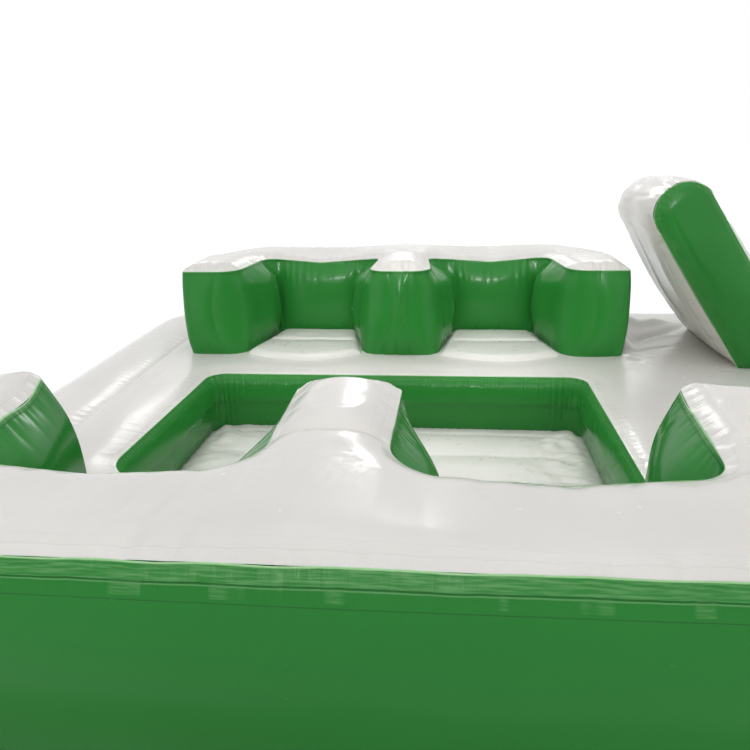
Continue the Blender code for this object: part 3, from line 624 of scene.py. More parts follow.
def bench_loops(spacing, levels, front):
    """The wall as a grid of loops, with every loop's points in the same places round the bench."""
    counts, lengths = wall_counts(bench_corners(0.0, front), spacing)
    bulges = np.minimum(WALL_BULGE, BULGE_PER_LENGTH * lengths)
    bulges[[1, 7]], bulges[[3, 5]] = (0.088, 0.034) if front else (0.068, 0.062)
    corner_shares = {1: 0.72, 7: 0.95} if front else {}
    rows = []
    for level in levels:
        path, walls, shares = trace(bench_corners(level, front), counts, 13)
        bulge = np.full(len(path), np.nan)
        for wall, full in enumerate(bulges):
            here = walls == wall
            place = 1 - shares[here] if wall in (3, 7) else shares[here]
            if wall in RECESS_SIDES:
                profile = mix(corner_shares.get(wall, CORNER_SHARE), 1, smooth(place, 0.0, 0.5))
                profile = profile * (1 - smooth(place, 0.45, 1.0) ** 2.6)
            elif wall in RECESS_BACKS:
                profile = 1 - np.abs(2 * place - 1) ** 3
            else:
                profile = mix(CORNER_SHARE, 1, np.sin(math.pi * place))
            bulge[here] = full * profile
        arcs = np.isnan(bulge)
        known = np.flatnonzero(~arcs)
        bulge[arcs] = np.interp(np.flatnonzero(arcs), known, bulge[known], period=len(path))
        path = path + loop_normals(path) * (bulge * (1 - abs(2 * level - 1) ** 2.6))[:, None]
        z = level * (BENCH_HEIGHT + seam_height(*path.T))
        if front:
            left = peak(*path.T, 0.97, 0.10)
            z = z + 0.0038 * wave(loop_lengths(path) / 0.11, 131) * smooth(level, 0.85, 1.0)
            z = z + (0.026 * left + 0.014 * peak(*path.T, -0.95, 0.09)) * smooth(level, 0.5, 1.0)
            path = path + np.c_[0.022 * left * smooth(level, 0.4, 1.0), 0 * left]
        rows.append(np.c_[path, z])
    return np.array(rows), walls


def build_bench(front, green, white, spacing):
    where, seed, first, biggest = ("front", 100, 0.004, 0.016) if front else ("rear", 200, 0.007, 0.022)
    levels = graded_both(BENCH_HEIGHT, first, biggest) / BENCH_HEIGHT
    grid, walls = bench_loops(spacing, levels, front)
    foot_away, run = np.broadcast_arrays(BENCH_HEIGHT * levels[:, None], loop_lengths(grid[-1][:, :2]))
    top_away = BENCH_HEIGHT * (1 - levels)[:, None] + 0 * run
    push = 0.004 * field(run / 0.24, grid[..., 2] / 0.20, seed) * np.sin(math.pi * levels)[:, None]
    push += puckers(run, top_away, 0.030, 0.0030, 0.060, seed + 1)
    push += puckers(run, top_away, 0.085, 0.0034, 0.110, seed + 4)
    push += puckers(run, top_away, 0.046, 0.0090, 0.200, seed + 10) * np.isin(walls, RECESS_BACKS)
    push += puckers(run, foot_away, 0.055, 0.0110, 0.085, seed + 7)
    grid = pushed(grid, push)
    weld = np.minimum(top_away, foot_away + 0.004)
    inner = grid[..., 1] < BENCH_FRONT + 0.60  # the weld's lines are drawn on the outer wall only
    weld = weld * (0.74 if front else 1.0) + 0.06 * smooth(weld, 0.008, 0.012) * inner
    make_grid(
        f"{where}_bench_wall_panels", turned_place(grid, front), green, "green_tarpaulin",
        f"{where}_bench_walls", weld, run,
    )
    build_bench_tops(front, where, grid[-1][:, :2], white, spacing, seed + 20)


FRONT_TOP_FOLDS = (  # start, end, width, height
    ((0.27, 1.60), (0.31, 1.96), 0.012, -0.0050),
    ((0.19, 1.66), (0.22, 1.95), 0.012, -0.0020),
    ((0.37, 1.64), (0.39, 1.94), 0.014, -0.0035),
    ((-0.33, 1.56), (-0.36, 1.68), 0.008, -0.0025),
    ((0.75, 1.63), (0.78, 1.95), 0.014, -0.0030),
    ((-0.93, 1.62), (-0.99, 1.94), 0.014, -0.0030),
)


def build_bench_tops(front, where, loop, white, spacing, seed):
    crease = BENCH_FRONT + CREASE_DEPTH
    tops = bench_corners(1.0, front)
    reach = CREASE_DEPTH / (tops[2][1] - BENCH_FRONT)
    inner, between = mix(tops[1][0], tops[2][0], reach), mix(tops[4][0], tops[3][0], reach)
    cuts = []
    for low, high in ((-BENCH_WIDTH / 2, inner), (between, -between), (-inner, BENCH_WIDTH / 2)):
        count = max(4, round((high - low) / spacing))
        cuts.append(at_height(np.linspace(low + 0.004, high - 0.004, count), crease))
    verts, faces = lid(loop, spacing * 1.5, graded(0.10, 0.004, 0.014)[1:], lines=cuts)
    away, along = nearest(loop, verts)
    x, y = verts.T
    wavy, divider_ring = (0.0022, 0.0035) if front else (0.005, 0.002)
    fine, coarse = ((0.046, 0.0026), (0.110, 0.0060)) if front else ((0.034, 0.0055), (0.080, 0.0090))
    z = BENCH_HEIGHT + seam_height(x, y) + crown_height(x, y, away)
    z += wavy * field(x / 0.22 + 40, y / 0.22 + 40, seed) * smooth(away, 0.0, 0.12)
    z += puckers(along, away, *fine, 0.070, seed + 1) + puckers(along, away, *coarse, 0.140, seed + 4)
    z += divider_ring * bell(np.hypot(x / 0.095, (y - BENCH_FRONT - 0.20) / 0.125), 1, 0.16)
    for side in (-1, 1):
        for corner_x, lean, depth in ((0.885, -0.75, 0.0080), (0.165, 0.75, 0.0060)):
            spot = (side * corner_x, BENCH_FRONT + 0.50)
            z += fan(x, y, spot, math.pi / 2 + side * lean, 1.0, 6, 0.05, 0.17, depth, seed + 7 + side)
    if front:
        z += 0.026 * peak(x, y, 0.99, 0.10) + 0.014 * peak(x, y, -0.95, 0.09)
        z -= 0.013 * bell(y, crease, 0.045) * bell(x, 0, 0.13)
        z += sum(ridge_line(x, y, *fold, 0.02) for fold in FRONT_TOP_FOLDS)
    z -= 0.008 * bell(y, crease, 0.012) * np.where(np.abs(x) > 0.6, 0.6, 1.0) * smooth(away, 0.0, 0.03)
    points = turned_place(np.c_[verts, z], front)
    middle_x, middle_y = verts[faces].mean(1).T
    behind = middle_y > crease
    left, right = ("right_arm", "left_arm") if front else ("left_arm", "right_arm")
    for part, here in (
        ("back", behind),
        (left, (middle_x < -0.5) & ~behind),
        ("divider", (np.abs(middle_x) < 0.5) & ~behind),
        (right, (middle_x > 0.5) & ~behind),
    ):
        make(
            f"{where}_bench_{part}_cover", points, faces[here], white, "white_tarpaulin",
            f"{where}_bench_{part}_top", away, along,
        )


# Deck


def deck_loop(inset, spacing):
    x, y = DECK_LENGTH / 2 - inset, DECK_WIDTH / 2 - inset
    corners = rectangle(-x, x, -y, y, DECK_CORNER - 0.39 * inset)
    return trace(corners, wall_counts(rectangle(0, DECK_LENGTH, 0, DECK_WIDTH, 0), spacing)[0], 24)[0]


def well_loop(outset=0.0, spacing=0.005):
    x, y = WELL_LENGTH / 2 + outset, WELL_WIDTH / 2 + outset
    corners = rectangle(WELL_X - x, WELL_X + x, -y, y, WELL_CORNER + outset)
    corners[0] = (WELL_X - x - 0.030, -y + 0.045, WELL_CORNER + 0.10 + outset)  # the near left one is rounder
    return trace(corners, wall_counts(rectangle(0, WELL_LENGTH, 0, WELL_WIDTH, 0), spacing)[0], 21)[0]


def valley_share(x, y):
    """How much of the valley inside the tube there is: on the far right the deck is one smooth dome."""
    return 1 - 0.94 * smooth(y, 0.9, 1.4) * smooth(x - WELL_X, 0.25, 0.85)


DECK_FANS = (  # centre, direction, spread, count, inner and outer reach, depth, seed
    ((WELL_CORNER - WELL_LENGTH / 2, WELL_WIDTH / 2 - WELL_CORNER), 2.36, 1.1, 15, 0.09, 0.30, 0.0024, 321),
    ((BENCH_WIDTH / 2, BENCH_FRONT + 0.02), -0.35, 1.10, 7, 0.02, 0.24, 0.0130, 326),
    ((-BENCH_WIDTH / 2 + 0.03, BENCH_FRONT + 0.02), 3.6, 0.9, 5, 0.02, 0.13, 0.0060, 328),
    ((1.84, 0.80), 3.5, 0.9, 5, 0.03, 0.16, 0.0070, 330),
)
DECK_FOLDS = (  # start, end, width, height
    ((1.33, 0.96), (1.58, 1.82), 0.038, 0.046),
    ((1.34, 1.20), (1.90, 1.76), 0.034, -0.040),
    ((1.36, 1.46), (1.82, 1.84), 0.036, 0.042),
    ((1.30, 1.70), (1.56, 2.20), 0.030, -0.030),
    ((1.31, 1.03), (1.52, 1.42), 0.014, 0.0090),
    ((1.34, 0.99), (1.66, 1.22), 0.014, -0.0080),
    ((1.31, 1.12), (1.42, 1.66), 0.016, 0.0100),
    ((1.42, 1.20), (1.80, 1.52), 0.018, 0.0080),
    ((1.36, 1.46), (1.58, 1.90), 0.020, -0.0100),
    ((1.25, 0.86), (1.36, 0.98), 0.018, 0.005),
    ((1.27, 0.71), (1.35, 0.80), 0.016, 0.004),
    ((-1.30, 0.85), (-1.42, 1.30), 0.030, 0.006),
    ((1.40, -0.40), (1.75, 0.35), 0.070, 0.008),
    ((1.55, -0.80), (2.60, -0.30), 0.080, 0.010),
    ((1.50, 0.35), (2.70, 0.10), 0.090, -0.008),
)


def deck_folds(x, y):
    """Single folds, from the well's middle: at its corners and at the feet of what the deck carries."""
    corner_x, corner_y = x - WELL_LENGTH / 2 + WELL_CORNER, y - WELL_WIDTH / 2 + WELL_CORNER
    radius, angle = np.hypot(corner_x, corner_y), np.arctan2(corner_y, corner_x)
    rings = np.cos(2 * math.pi * radius / 0.022 + 1.5 * wave(angle * 2 + 9, 324))
    z = 0.0011 * rings * hill(radius, 0.19, 0.10) * hill(angle, 0.75, 0.95)
    z += sum(fan(x, y, *fold) for fold in DECK_FANS)
    return z + sum(ridge_line(x, y, *fold, 0.04) for fold in DECK_FOLDS)


def build_platform(mat):
    outer, hole = deck_loop(TUBE_WIDTH, 0.010), well_loop()

    def wanted(grid):
        """All points where the picture looks, and one in three elsewhere."""
        x, y = grid.T
        near = (x < WELL_X + 1.95) & (np.abs(y) < 1.05) | (y > 0) & (x < WELL_X + 2.35)
        return near | (np.arange(len(grid)) % 3 == 0)

    verts, faces = lid(outer, 0.022, graded(0.17, 0.003, 0.018)[1:], hole=hole, wanted=wanted)
    seam_away, seam_along = nearest(outer, verts)
    rim_away, rim_along = nearest(hole, verts)
    weld = np.minimum(seam_away, rim_away)
    x, y = verts.T
    z = DECK_TOP - VALLEY_DEPTH * valley_share(x, y) * (1 - rounded(seam_away / VALLEY_REACH))
    z += (RIM_DROP + RIM_PILLOW) * rounded(rim_away / RIM_REACH) - RIM_DROP
    z += 0.005 * field(x / 0.32, y / 0.32, 301) * smooth(weld, 0.0, 0.2) + deck_folds(x - WELL_X, y)
    left = 1 - smooth(x, WELL_X - 1.05, WELL_X - 0.85)
    z += puckers(rim_along, rim_away, 0.018, 0.0020, 0.150, 302) * (0.6 + 1.3 * left)
    z += puckers(rim_along, rim_away, 0.052, 0.0022, 0.110, 305)
    z += puckers(seam_along, seam_away, 0.022, 0.0022, 0.045, 308)
    z += puckers(seam_along, seam_away, 0.060, 0.0030, 0.080, 311)
    along = np.where(seam_away < rim_away, seam_along, rim_along)
    make("deck_top_panel", np.c_[verts, z], faces, mat, "white_tarpaulin", "deck_platform", weld, along)


def tube_grid(profile, first, biggest, spacing):
    """A profile of (inset, height) swept round the deck, with its distances along, and from both ends."""
    profile = np.array(profile)
    places = path_lengths(profile)
    steps = graded_both(places[-1], first, biggest)
    insets, heights = (np.interp(steps, places, values) for values in profile.T)
    grid = np.array([at_height(deck_loop(inset, spacing), z) for inset, z in zip(insets, heights)])
    first_away, along = np.broadcast_arrays(steps[:, None], loop_lengths(grid[0][:, :2]))
    return grid, insets[:, None], along, first_away, steps[-1] - first_away


def build_tube(white, green):
    grid, insets, along, outer_away, inner_away = tube_grid([
        (0.030, SIDE_SEAM), (0.038, 0.306), (0.055, 0.323), (0.080, 0.341), (0.110, 0.357), (0.145, 0.3715),
        (0.185, 0.384), (0.225, 0.3925), (0.265, 0.3985), (0.305, 0.4010), (0.345, 0.4010), (0.385, 0.3995),
        (0.410, 0.398), (0.435, 0.3955), (0.455, 0.3925), (0.470, 0.3898), (0.485, 0.3866), (0.498, 0.3834),
        (TUBE_WIDTH, DECK_TOP - VALLEY_DEPTH),
    ], 0.004, 0.020, 0.010)
    filled = (1 - valley_share(grid[..., 0], grid[..., 1])) * (insets > 0.30)
    grid[..., 2] += filled * (DECK_TOP + 0.0005 - grid[..., 2])
    middle = np.sin(math.pi * outer_away / outer_away.max())
    push = 0.004 * field(along / 0.35, outer_away / 0.25, 401) * middle
    push += puckers(along, inner_away, 0.024, 0.0020, 0.045, 402)
    push += puckers(along, inner_away, 0.070, 0.0035, 0.090, 408)
    push += puckers(along, outer_away, 0.036, 0.0040, 0.080, 405)
    weld = np.minimum(outer_away, inner_away)
    grid = pushed(grid, push)
    make_grid("tube_top_panel", grid, white, "white_tarpaulin", "perimeter_tube_top", weld, along)

    grid, insets, along, low_away, high_away = tube_grid([
        (0.100, 0.0), (0.072, 0.012), (0.042, 0.032), (0.020, 0.056),
        (0.007, 0.082), (0.0, 0.11), (0.0, 0.16),
        (0.0, 0.21), (0.005, 0.240), (0.015, 0.268), (0.030, SIDE_SEAM),
    ], 0.005, 0.018, 0.012)
    band = smooth(low_away, 0.10, 0.16) * (1 - smooth(low_away, 0.20, 0.26))  # kept flat for the fittings
    push = 0.002 * field(along / 0.30, low_away / 0.2, 411) * (1 - band)
    push += puckers(along, high_away, 0.036, 0.0045, 0.050, 412)
    push += puckers(along, low_away, 0.060, 0.0050, 0.050, 415)
    grid = pushed(grid, push)
    grid[..., 2] = np.maximum(grid[..., 2], 0)
    make_grid("tube_side_panel", grid, green, "green_tarpaulin", "perimeter_side_panel", high_away, along)


def build_underside(mat):
    outer = deck_loop(0.098, 0.03)
    verts, faces = lid(outer, 0.075, graded(0.12, 0.015, 0.045)[1:])
    away, along = nearest(outer, verts)
    x, y = verts.T / 0.30 + 40
    points = np.c_[verts, (0.0035 + 0.0025 * field(x, y, 451)) * smooth(away, 0.0, 0.10)]
    make("deck_bottom_panel", points, faces[:, ::-1], mat, "white_tarpaulin", "deck_platform", away, along)


def build_lining(mat):
    top, bottom = DECK_TOP - RIM_DROP, FLOOR_TOP - 0.030
    steps = graded_both(top - bottom, 0.004, 0.014)
    share = steps / (top - bottom)
    insets = 0.030 * (1 - np.abs(2 * share - 1) ** 2.4) + 0.012 * smooth(share, 1.0, 0.86) * (share > 0.5)
    grid = np.array([at_height(well_loop(-inset), bottom + step) for inset, step in zip(insets, steps)])
    foot_away, along = np.broadcast_arrays(steps[:, None], loop_lengths(well_loop()))
    top_away = steps[-1] - foot_away
    push = 0.003 * field(along / 0.20, foot_away / 0.16, 501) * np.sin(math.pi * steps / steps[-1])[:, None]
    push -= puckers(along, top_away, 0.019, 0.0046, 0.100, 502)
    push -= puckers(along, foot_away, 0.040, 0.0060, 0.090, 505)
    x, y = np.abs(grid[..., 0] - WELL_X), np.abs(grid[..., 1])
    corner = np.hypot(x - WELL_LENGTH / 2 + 0.03, y - WELL_WIDTH / 2 + 0.03)
    push -= puckers(along, top_away, 0.036, 0.0200, 0.500, 508) * bell(corner, 0, 0.11)
    grid = pushed(grid, push)
    make_grid("well_wall_panel", grid, mat, "green_tarpaulin", "well_lining", top_away, along, flip=True)


def build_floor(mat):
    reach, pitch = 0.045, 0.27  # how far it runs under the lining, and from channel to channel
    length, width = WELL_LENGTH + 2 * reach, WELL_WIDTH + 2 * reach
    xs = np.linspace(-length / 2, length / 2, round(length / 0.012))
    x, y = np.meshgrid(xs, np.linspace(-width / 2, width / 2, round(width / 0.010)))
    phase = (y - 0.07) / pitch
    to_valley = np.abs(phase - np.round(phase)) * pitch
    end_away = length / 2 - np.abs(x)
    right, left = smooth(x, 0.0, 0.5), 1 - smooth(x, -0.75, -0.35)
    valley = 1 - np.abs(np.sin(math.pi * phase)) ** 0.6
    z = FLOOR_TOP - 0.028 * valley * smooth(end_away, 0.02, 0.22) - 0.030 * (1 - smooth(end_away, 0.0, 0.16))
    z += puckers(x + 3.0, to_valley, 0.050, 0.0040, 0.080, 601)
    z += puckers(y + 3.0 + 0.3 * x, end_away, 0.050, 0.0130, 0.220, 604)
    z += puckers(y + 5.0 - 0.4 * x, np.maximum(end_away - 0.05, 0), 0.080, 0.0260, 0.300, 610) * right
    z += puckers(y + 7.0 + 0.5 * x, end_away, 0.090, 0.0200, 0.260, 616) * left
    crumpled = smooth(end_away, 0.03, 0.12) * (1 - smooth(end_away, 0.2, 0.45))
    z += 0.012 * field(x / 0.07, y / 0.05, 613) * (right + 0.8 * left) * crumpled
    z += 0.004 * field(x / 0.16, y / 0.16, 607)
    make_grid(
        "well_floor_channels", np.stack([x + WELL_X, y, z], -1), mat, "floor_tarpaulin", "well_floor_mat",
        to_valley + 0.02, x, closed=False,
    )


# Seat pads


def pad_outline(front, side):
    """A seat pad's outline in bench axes: square to the recess, with a round front edge."""
    near, far = BENCH_FRONT, BENCH_FRONT + RECESS_DEPTH - 0.014

    def inner(y):
        return mix(0.165 if front else 0.215, 0.300, (y - BENCH_FRONT) / RECESS_DEPTH) + 0.014

    def outer(y):
        return mix(0.942, 0.820, (y - BENCH_FRONT) / RECESS_DEPTH) - 0.014

    points = []
    for share in np.linspace(-1, 1, 80):
        points.append((mix(inner(near), outer(near), (share + 1) / 2), near - 0.128 * (1 - share**2)))
    points += [(outer(y), y) for y in np.linspace(near, far, 52)[1:]]
    points += [(mix(outer(far), inner(far), share), far) for share in np.linspace(0, 1, 52)[1:]]
    points += [(inner(y), y) for y in np.linspace(far, near, 52)[1:-1]]
    return np.array(points) if side > 0 else np.array(points)[::-1] * (-1, 1)


def build_pad(front, side, mat):
    where = "front" if front else "rear"
    side_name = "left" if (side > 0) == front else "right"
    seed = 700 + 10 * front + side
    loop = pad_outline(front, side)
    verts, faces = lid(loop, 0.012, graded(0.04, 0.003, 0.009)[1:])
    away, along = nearest(loop, verts)
    x, y = verts.T
    seam = np.abs(y - BENCH_FRONT - 0.245)
    rise = rounded(away / 0.045) * (1 - 0.45 * bell(seam, 0, 0.020))
    z = 0.004 + 0.034 * rise + 0.004 * smooth(np.minimum(away, seam), 0.03, 0.12)
    z += puckers(x + 2, seam, 0.035, 0.0040, 0.050, seed)
    z += puckers(along, away, 0.030, 0.0030, 0.040, seed + 3)
    z += 0.002 * field(x / 0.12, y / 0.12, seed + 6)
    skirt = ((0.0, 0.004), (0.003, 0.0), (-0.004, -0.004))  # three loops down to the deck: outset and height
    points = [np.c_[verts, z]] + [at_height(loop + loop_normals(loop) * out, low) for out, low in skirt]
    quads = grid_faces(3, len(loop))[:, ::-1] + len(verts)
    faces = np.concatenate([faces, quads[:, [0, 1, 2]], quads[:, [0, 2, 3]]])
    weld = np.concatenate([away, np.zeros(3 * len(loop))])
    run = np.concatenate([along, np.tile(loop_lengths(loop), 3)])
    pad = make(
        f"{where}_{side_name}_seat_cushion", turned_place(np.concatenate(points), front), faces, mat,
        "floor_tarpaulin", f"{where}_{side_name}_seat_pad", weld, run,
    )


# Backrests


def slab_path():
    """The backrest's section in X and Z, anticlockwise from the back of its base."""
    half = SLAB_THICKNESS / 2
    top = SLAB_UP * ((SLAB_HEIGHT - half) / math.cos(LEAN) + half)
    right = np.array([math.cos(LEAN), math.sin(LEAN)]) * half
    base = half / math.cos(LEAN)
    tip = half * 0.98
    corners = [(-base, 0, 0.02), (base, 0, 0.02), (*(top + right), tip), (*(top - right), tip)]
    return trace(corners, [14, 70, 1, 70], 30)


def build_backrest(where, white, green):
    sign, seed = (1, 800) if where == "rear" else (-1, 850)
    path, walls, shares = slab_path()
    on_faces = (walls == 1) | (walls == 3)
    place = np.where(walls == 3, 1 - shares, shares)
    swell = mix(0.020, 0.052, np.sin(math.pi * place)) * smooth(place, 0.0, 0.10)
    bulge = np.where(on_faces, swell, np.where((walls != 0) & (path[:, 1] > 0.5), 0.020, 0.0))
    across = graded_both(SLAB_WIDTH, 0.004, 0.014)
    rows = []
    for step in across:
        section = path + loop_normals(path) * (bulge * (1 - abs(2 * step / SLAB_WIDTH - 1) ** 6))[:, None]
        outer = step / SLAB_WIDTH if sign > 0 else 1 - step / SLAB_WIDTH
        section = section - SLAB_UP * (SLAB_FAR_DROP * outer * smooth(section[:, 1], 0.2, 0.9))[:, None]
        rows.append(np.insert(section, 1, step - SLAB_WIDTH / 2, axis=1))
    edge, run = np.broadcast_arrays(np.minimum(across, SLAB_WIDTH - across)[:, None], loop_lengths(path))
    across = across[:, None]
    over_top = np.isin(walls, (-1, 2)) & (path[:, 1] > 0.4)
    under = (walls == 3) * np.sin(math.pi * place)
    push = 0.004 * field(run / 0.20, across / 0.20, seed) * smooth(edge, 0, 0.15)
    push += puckers(run, edge, 0.038, 0.0055, 0.110, seed + 1)
    push += puckers(run, edge, 0.090, 0.0070, 0.180, seed + 4)
    push += 0.007 * np.abs(field(run / 0.045, across / 0.30, seed + 7)) * over_top
    push += 0.005 * field(run / 0.60, across / 0.055, seed + 8) * under
    place = np.array([SLAB_X, sign * SLAB_Y, BENCH_FLOOR])
    make_grid(
        f"{where}_backrest_band", pushed(np.array(rows), -push) + place, white, "white_tarpaulin",
        f"{where}_backrest_body", edge, run, flip=True,
    )
    verts, faces = lid(path, 0.016, graded(0.09, 0.004, 0.012)[1:])
    away, run = nearest(path, verts)
    for side_name, side in (("inner", -sign), ("outer", sign)):
        number = seed + 20 + side
        out = 0.036 * rounded(away / 0.10) + puckers(run, away, 0.034, 0.0110, 0.075, number)
        out += 0.003 * field(*(verts.T / 0.15), number) * smooth(away, 0, 0.06)
        shorter = SLAB_FAR_DROP * (side_name == "outer") * smooth(verts[:, 1], 0.2, 0.9)
        sunk = verts - SLAB_UP * shorter[:, None]
        points = np.c_[sunk[:, 0], side * (SLAB_WIDTH / 2 + np.maximum(out, 0)), sunk[:, 1]] + place
        make(
            f"{where}_backrest_{side_name}_cheek", points, faces if side < 0 else faces[:, ::-1], green,
            "green_tarpaulin", f"{where}_backrest_{side_name}_side_panel", away, run,
        )


# Fittings: moulded valves, wire rings on welded patches, webbing handles


def fitting_frame(name, direction):
    """Where a node's fitting stands: its axes along, across and outward, and the middle of its foot."""
    low, high = map(np.array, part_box(name))
    up, outward = np.array([0.0, 0.0, 1.0]), np.array(direction, float)
    foot = np.where(outward > 0, low, np.where(outward < 0, high, (low + high) / 2))
    return np.array([np.cross(up, outward), up, outward]), foot


def fitting(name, pieces, place, mat, slot, node, moves=False, sharp=40, **seams):
    """A piece of several (vertices, faces), put in its place. One that moves rides on its own body."""
    verts, faces, base = [], [], 0
    for points, polygons in pieces:
        verts.append(points)
        faces += [tuple(int(i) + base for i in polygon) for polygon in polygons]
        base += len(points)
    axes, foot = place
    body = node if moves else "island"
    make(name, np.concatenate(verts) @ axes + foot, faces, mat, slot, node, body=body, sharp=sharp, **seams)


def round_profile(profile, fillet=0.0008, steps=4):
    """A turned section with every inner corner rounded by a small fillet."""
    points = np.array(profile, float)
    out = [points[0]]
    for before, here, after in zip(points[:-2], points[1:-1], points[2:]):
        a, b = before - here, after - here
        la, lb = np.linalg.norm(a), np.linalg.norm(b)
        reach = min(fillet, 0.4 * la, 0.4 * lb)
        start, end = here + a / la * reach, here + b / lb * reach
        for share in np.linspace(0, 1, steps):
            out.append((1 - share) ** 2 * start + 2 * share * (1 - share) * here + share**2 * end)
    return np.array([*out, points[-1]])


def turned_mesh(profile, segments=72, knurl=None):
    """Vertices and faces of a profile of (radius, height) turned about the outward axis."""
    section = round_profile(profile)
    angles = np.linspace(0, 2 * math.pi, segments, endpoint=False)
    radius, height = (np.repeat(section[:, k, None], segments, 1) for k in (0, 1))
    if knurl is not None:
        count, depth, low, high = knurl
        rim = (height > low) & (height < high) & (radius > 0.6 * radius.max())
        radius = radius - depth * rim * (0.5 + 0.5 * np.cos(count * angles)) ** 4
    points = np.stack([radius * np.cos(angles), radius * np.sin(angles), height], -1)
    return points.reshape(-1, 3), grid_faces(len(section), segments)


def rounded_bar(length, width, low, high, edge):
    """A bar with round ends seen from outside, and a bevelled crown."""
    radius, ring = width / 2, []
    for centre, start in ((length / 2 - radius, -math.pi / 2), (radius - length / 2, math.pi / 2)):
        for angle in start + np.linspace(0, math.pi, 12):
            ring.append((centre + radius * math.cos(angle), radius * math.sin(angle)))
    ring = np.array(ring)
    levels = ((0.0, low), (0.0, high - edge), (edge * 0.3, high - edge * 0.3), (edge, high))
    rows = [at_height(ring - loop_normals(ring) * inset, z) for inset, z in levels]
    count = len(ring)
    return np.concatenate(rows), [*grid_faces(4, count), range(3 * count, 4 * count)]


def valve_body_pieces():
    """Flange with its weld step and ribs, and a boss with a thread outside and a bore inside."""
    thread = []
    for z in 0.0215 - 0.0034 * np.arange(4):
        thread += [(0.0252, z), (0.0262, z - 0.0008), (0.0262, z - 0.0016), (0.0252, z - 0.0024)]
    pieces = [turned_mesh([
        (0.0064, 0.0055), (0.0064, 0.012), (0.0175, 0.012),
        (0.0180, 0.0245), (0.0190, 0.026), (0.0248, 0.026),
        (0.0252, 0.0245), *thread, (0.0252, 0.0065), (0.0265, 0.0048), (0.0300, 0.0042), (0.0420, 0.0040),
        (0.0450, 0.0026), (0.0450, 0.0),
    ])]
    foot = ((0.030, -0.0011), (0.041, -0.0009), (0.041, 0.0009), (0.030, 0.0011))
    for angle in (np.arange(8) + 0.5) * math.pi / 4:
        cos, sin = math.cos(angle), math.sin(angle)
        rib = []
        for z in (0.0038, 0.0056):
            rib += [(r * cos - w * sin, r * sin + w * cos, z - 0.0012 * (r > 0.035)) for r, w in foot]
        pieces.append((np.array(rib), [(4, 5, 6, 7), (0, 1, 5, 4), (1, 2, 6, 5), (2, 3, 7, 6), (3, 0, 4, 7)]))
    return pieces


def build_valves(plastic, black):
    body = valve_body_pieces()
    cap = turned_mesh([
        (0.0, 0.0303), (0.0240, 0.0303), (0.0290, 0.0296),
        (0.0308, 0.0270), (0.0308, 0.0125), (0.0298, 0.0112),
        (0.0272, 0.0110), (0.0268, 0.0125), (0.0268, 0.0262), (0.0, 0.0263),
    ], 144, (24, 0.0010, 0.0135, 0.0275))
    plunger = turned_mesh([
        (0.0, 0.0213), (0.0078, 0.0213), (0.0104, 0.0200),
        (0.0110, 0.0176), (0.0060, 0.0173), (0.0060, 0.0090),
        (0.0, 0.0090),
    ], 48)
    grip = rounded_bar(0.054, 0.009, 0.0290, 0.0383, 0.0018)
    for name, direction in (
        ("deck", (1, 0, 0)), ("rear_bench", (-1, 0, 0)), ("front_bench", (1, 0, 0)),
        ("rear_backrest", (0, 1, 0)), ("front_backrest", (0, -1, 0)),
    ):
        name += "_valve"
        place = fitting_frame(f"{name}_body", direction)
        fitting(f"{name}_housing", body, place, plastic, "valve_plastic", f"{name}_body")
        moving = (("spring_plunger", "plunger", [plunger]), ("screw_cap", "cap", [cap, grip]))
        for label, part, pieces in moving:
            fitting(f"{name}_{label}", pieces, place, black, "cap_plastic", f"{name}_{part}", moves=True)

    place = fitting_frame("relief_valve_body", (1, 0, 0))
    body = turned_mesh([
        (0.0043, 0.0025), (0.0043, 0.008), (0.0150, 0.008),
        (0.0150, 0.0150), (0.0162, 0.016), (0.0208, 0.016),
        (0.0220, 0.0148), (0.0220, 0.0055), (0.0232, 0.0044), (0.0270, 0.0041), (0.0375, 0.0038),
        (0.0400, 0.0024), (0.0400, 0.0),
    ])
    poppet = turned_mesh([
        (0.0, 0.0128), (0.0060, 0.0126), (0.0095, 0.0114),
        (0.0124, 0.0104), (0.0130, 0.0084), (0.0040, 0.0083),
        (0.0040, 0.0024), (0.0, 0.0024),
    ], 48)
    fitting("relief_valve_housing", [body], place, plastic, "valve_plastic", "relief_valve_body")
    fitting(
        "relief_valve_sprung_poppet", [poppet], place, black, "cap_plastic", "relief_valve_poppet", moves=True
    )


def ring_piece():
    """The ring's wire along a rounded, tapered loop in the plane of its side and up axes."""
    radius, sides = 0.003, 16
    corners = [(-0.028, 0.0, 0.007), (-0.028, -0.046, 0.0266), (0.028, -0.046, 0.0266), (0.028, 0.0, 0.007)]
    path = at_height(trace(corners, [16, 6, 2, 6], 14)[0], RING_AXIS)
    tangent = np.roll(path, -1, 0) - np.roll(path, 1, 0)
    tangent /= np.linalg.norm(tangent, axis=1)[:, None]
    outward = np.array([0.0, 0.0, 1.0])
    side = np.cross(tangent, outward)[:, None]
    angles = np.linspace(0, 2 * math.pi, sides, endpoint=False)[:, None]
    points = (path[:, None] + radius * (side * np.cos(angles) + outward * np.sin(angles))).reshape(-1, 3)
    return points, grid_faces(len(path) + 1, sides) % len(points)


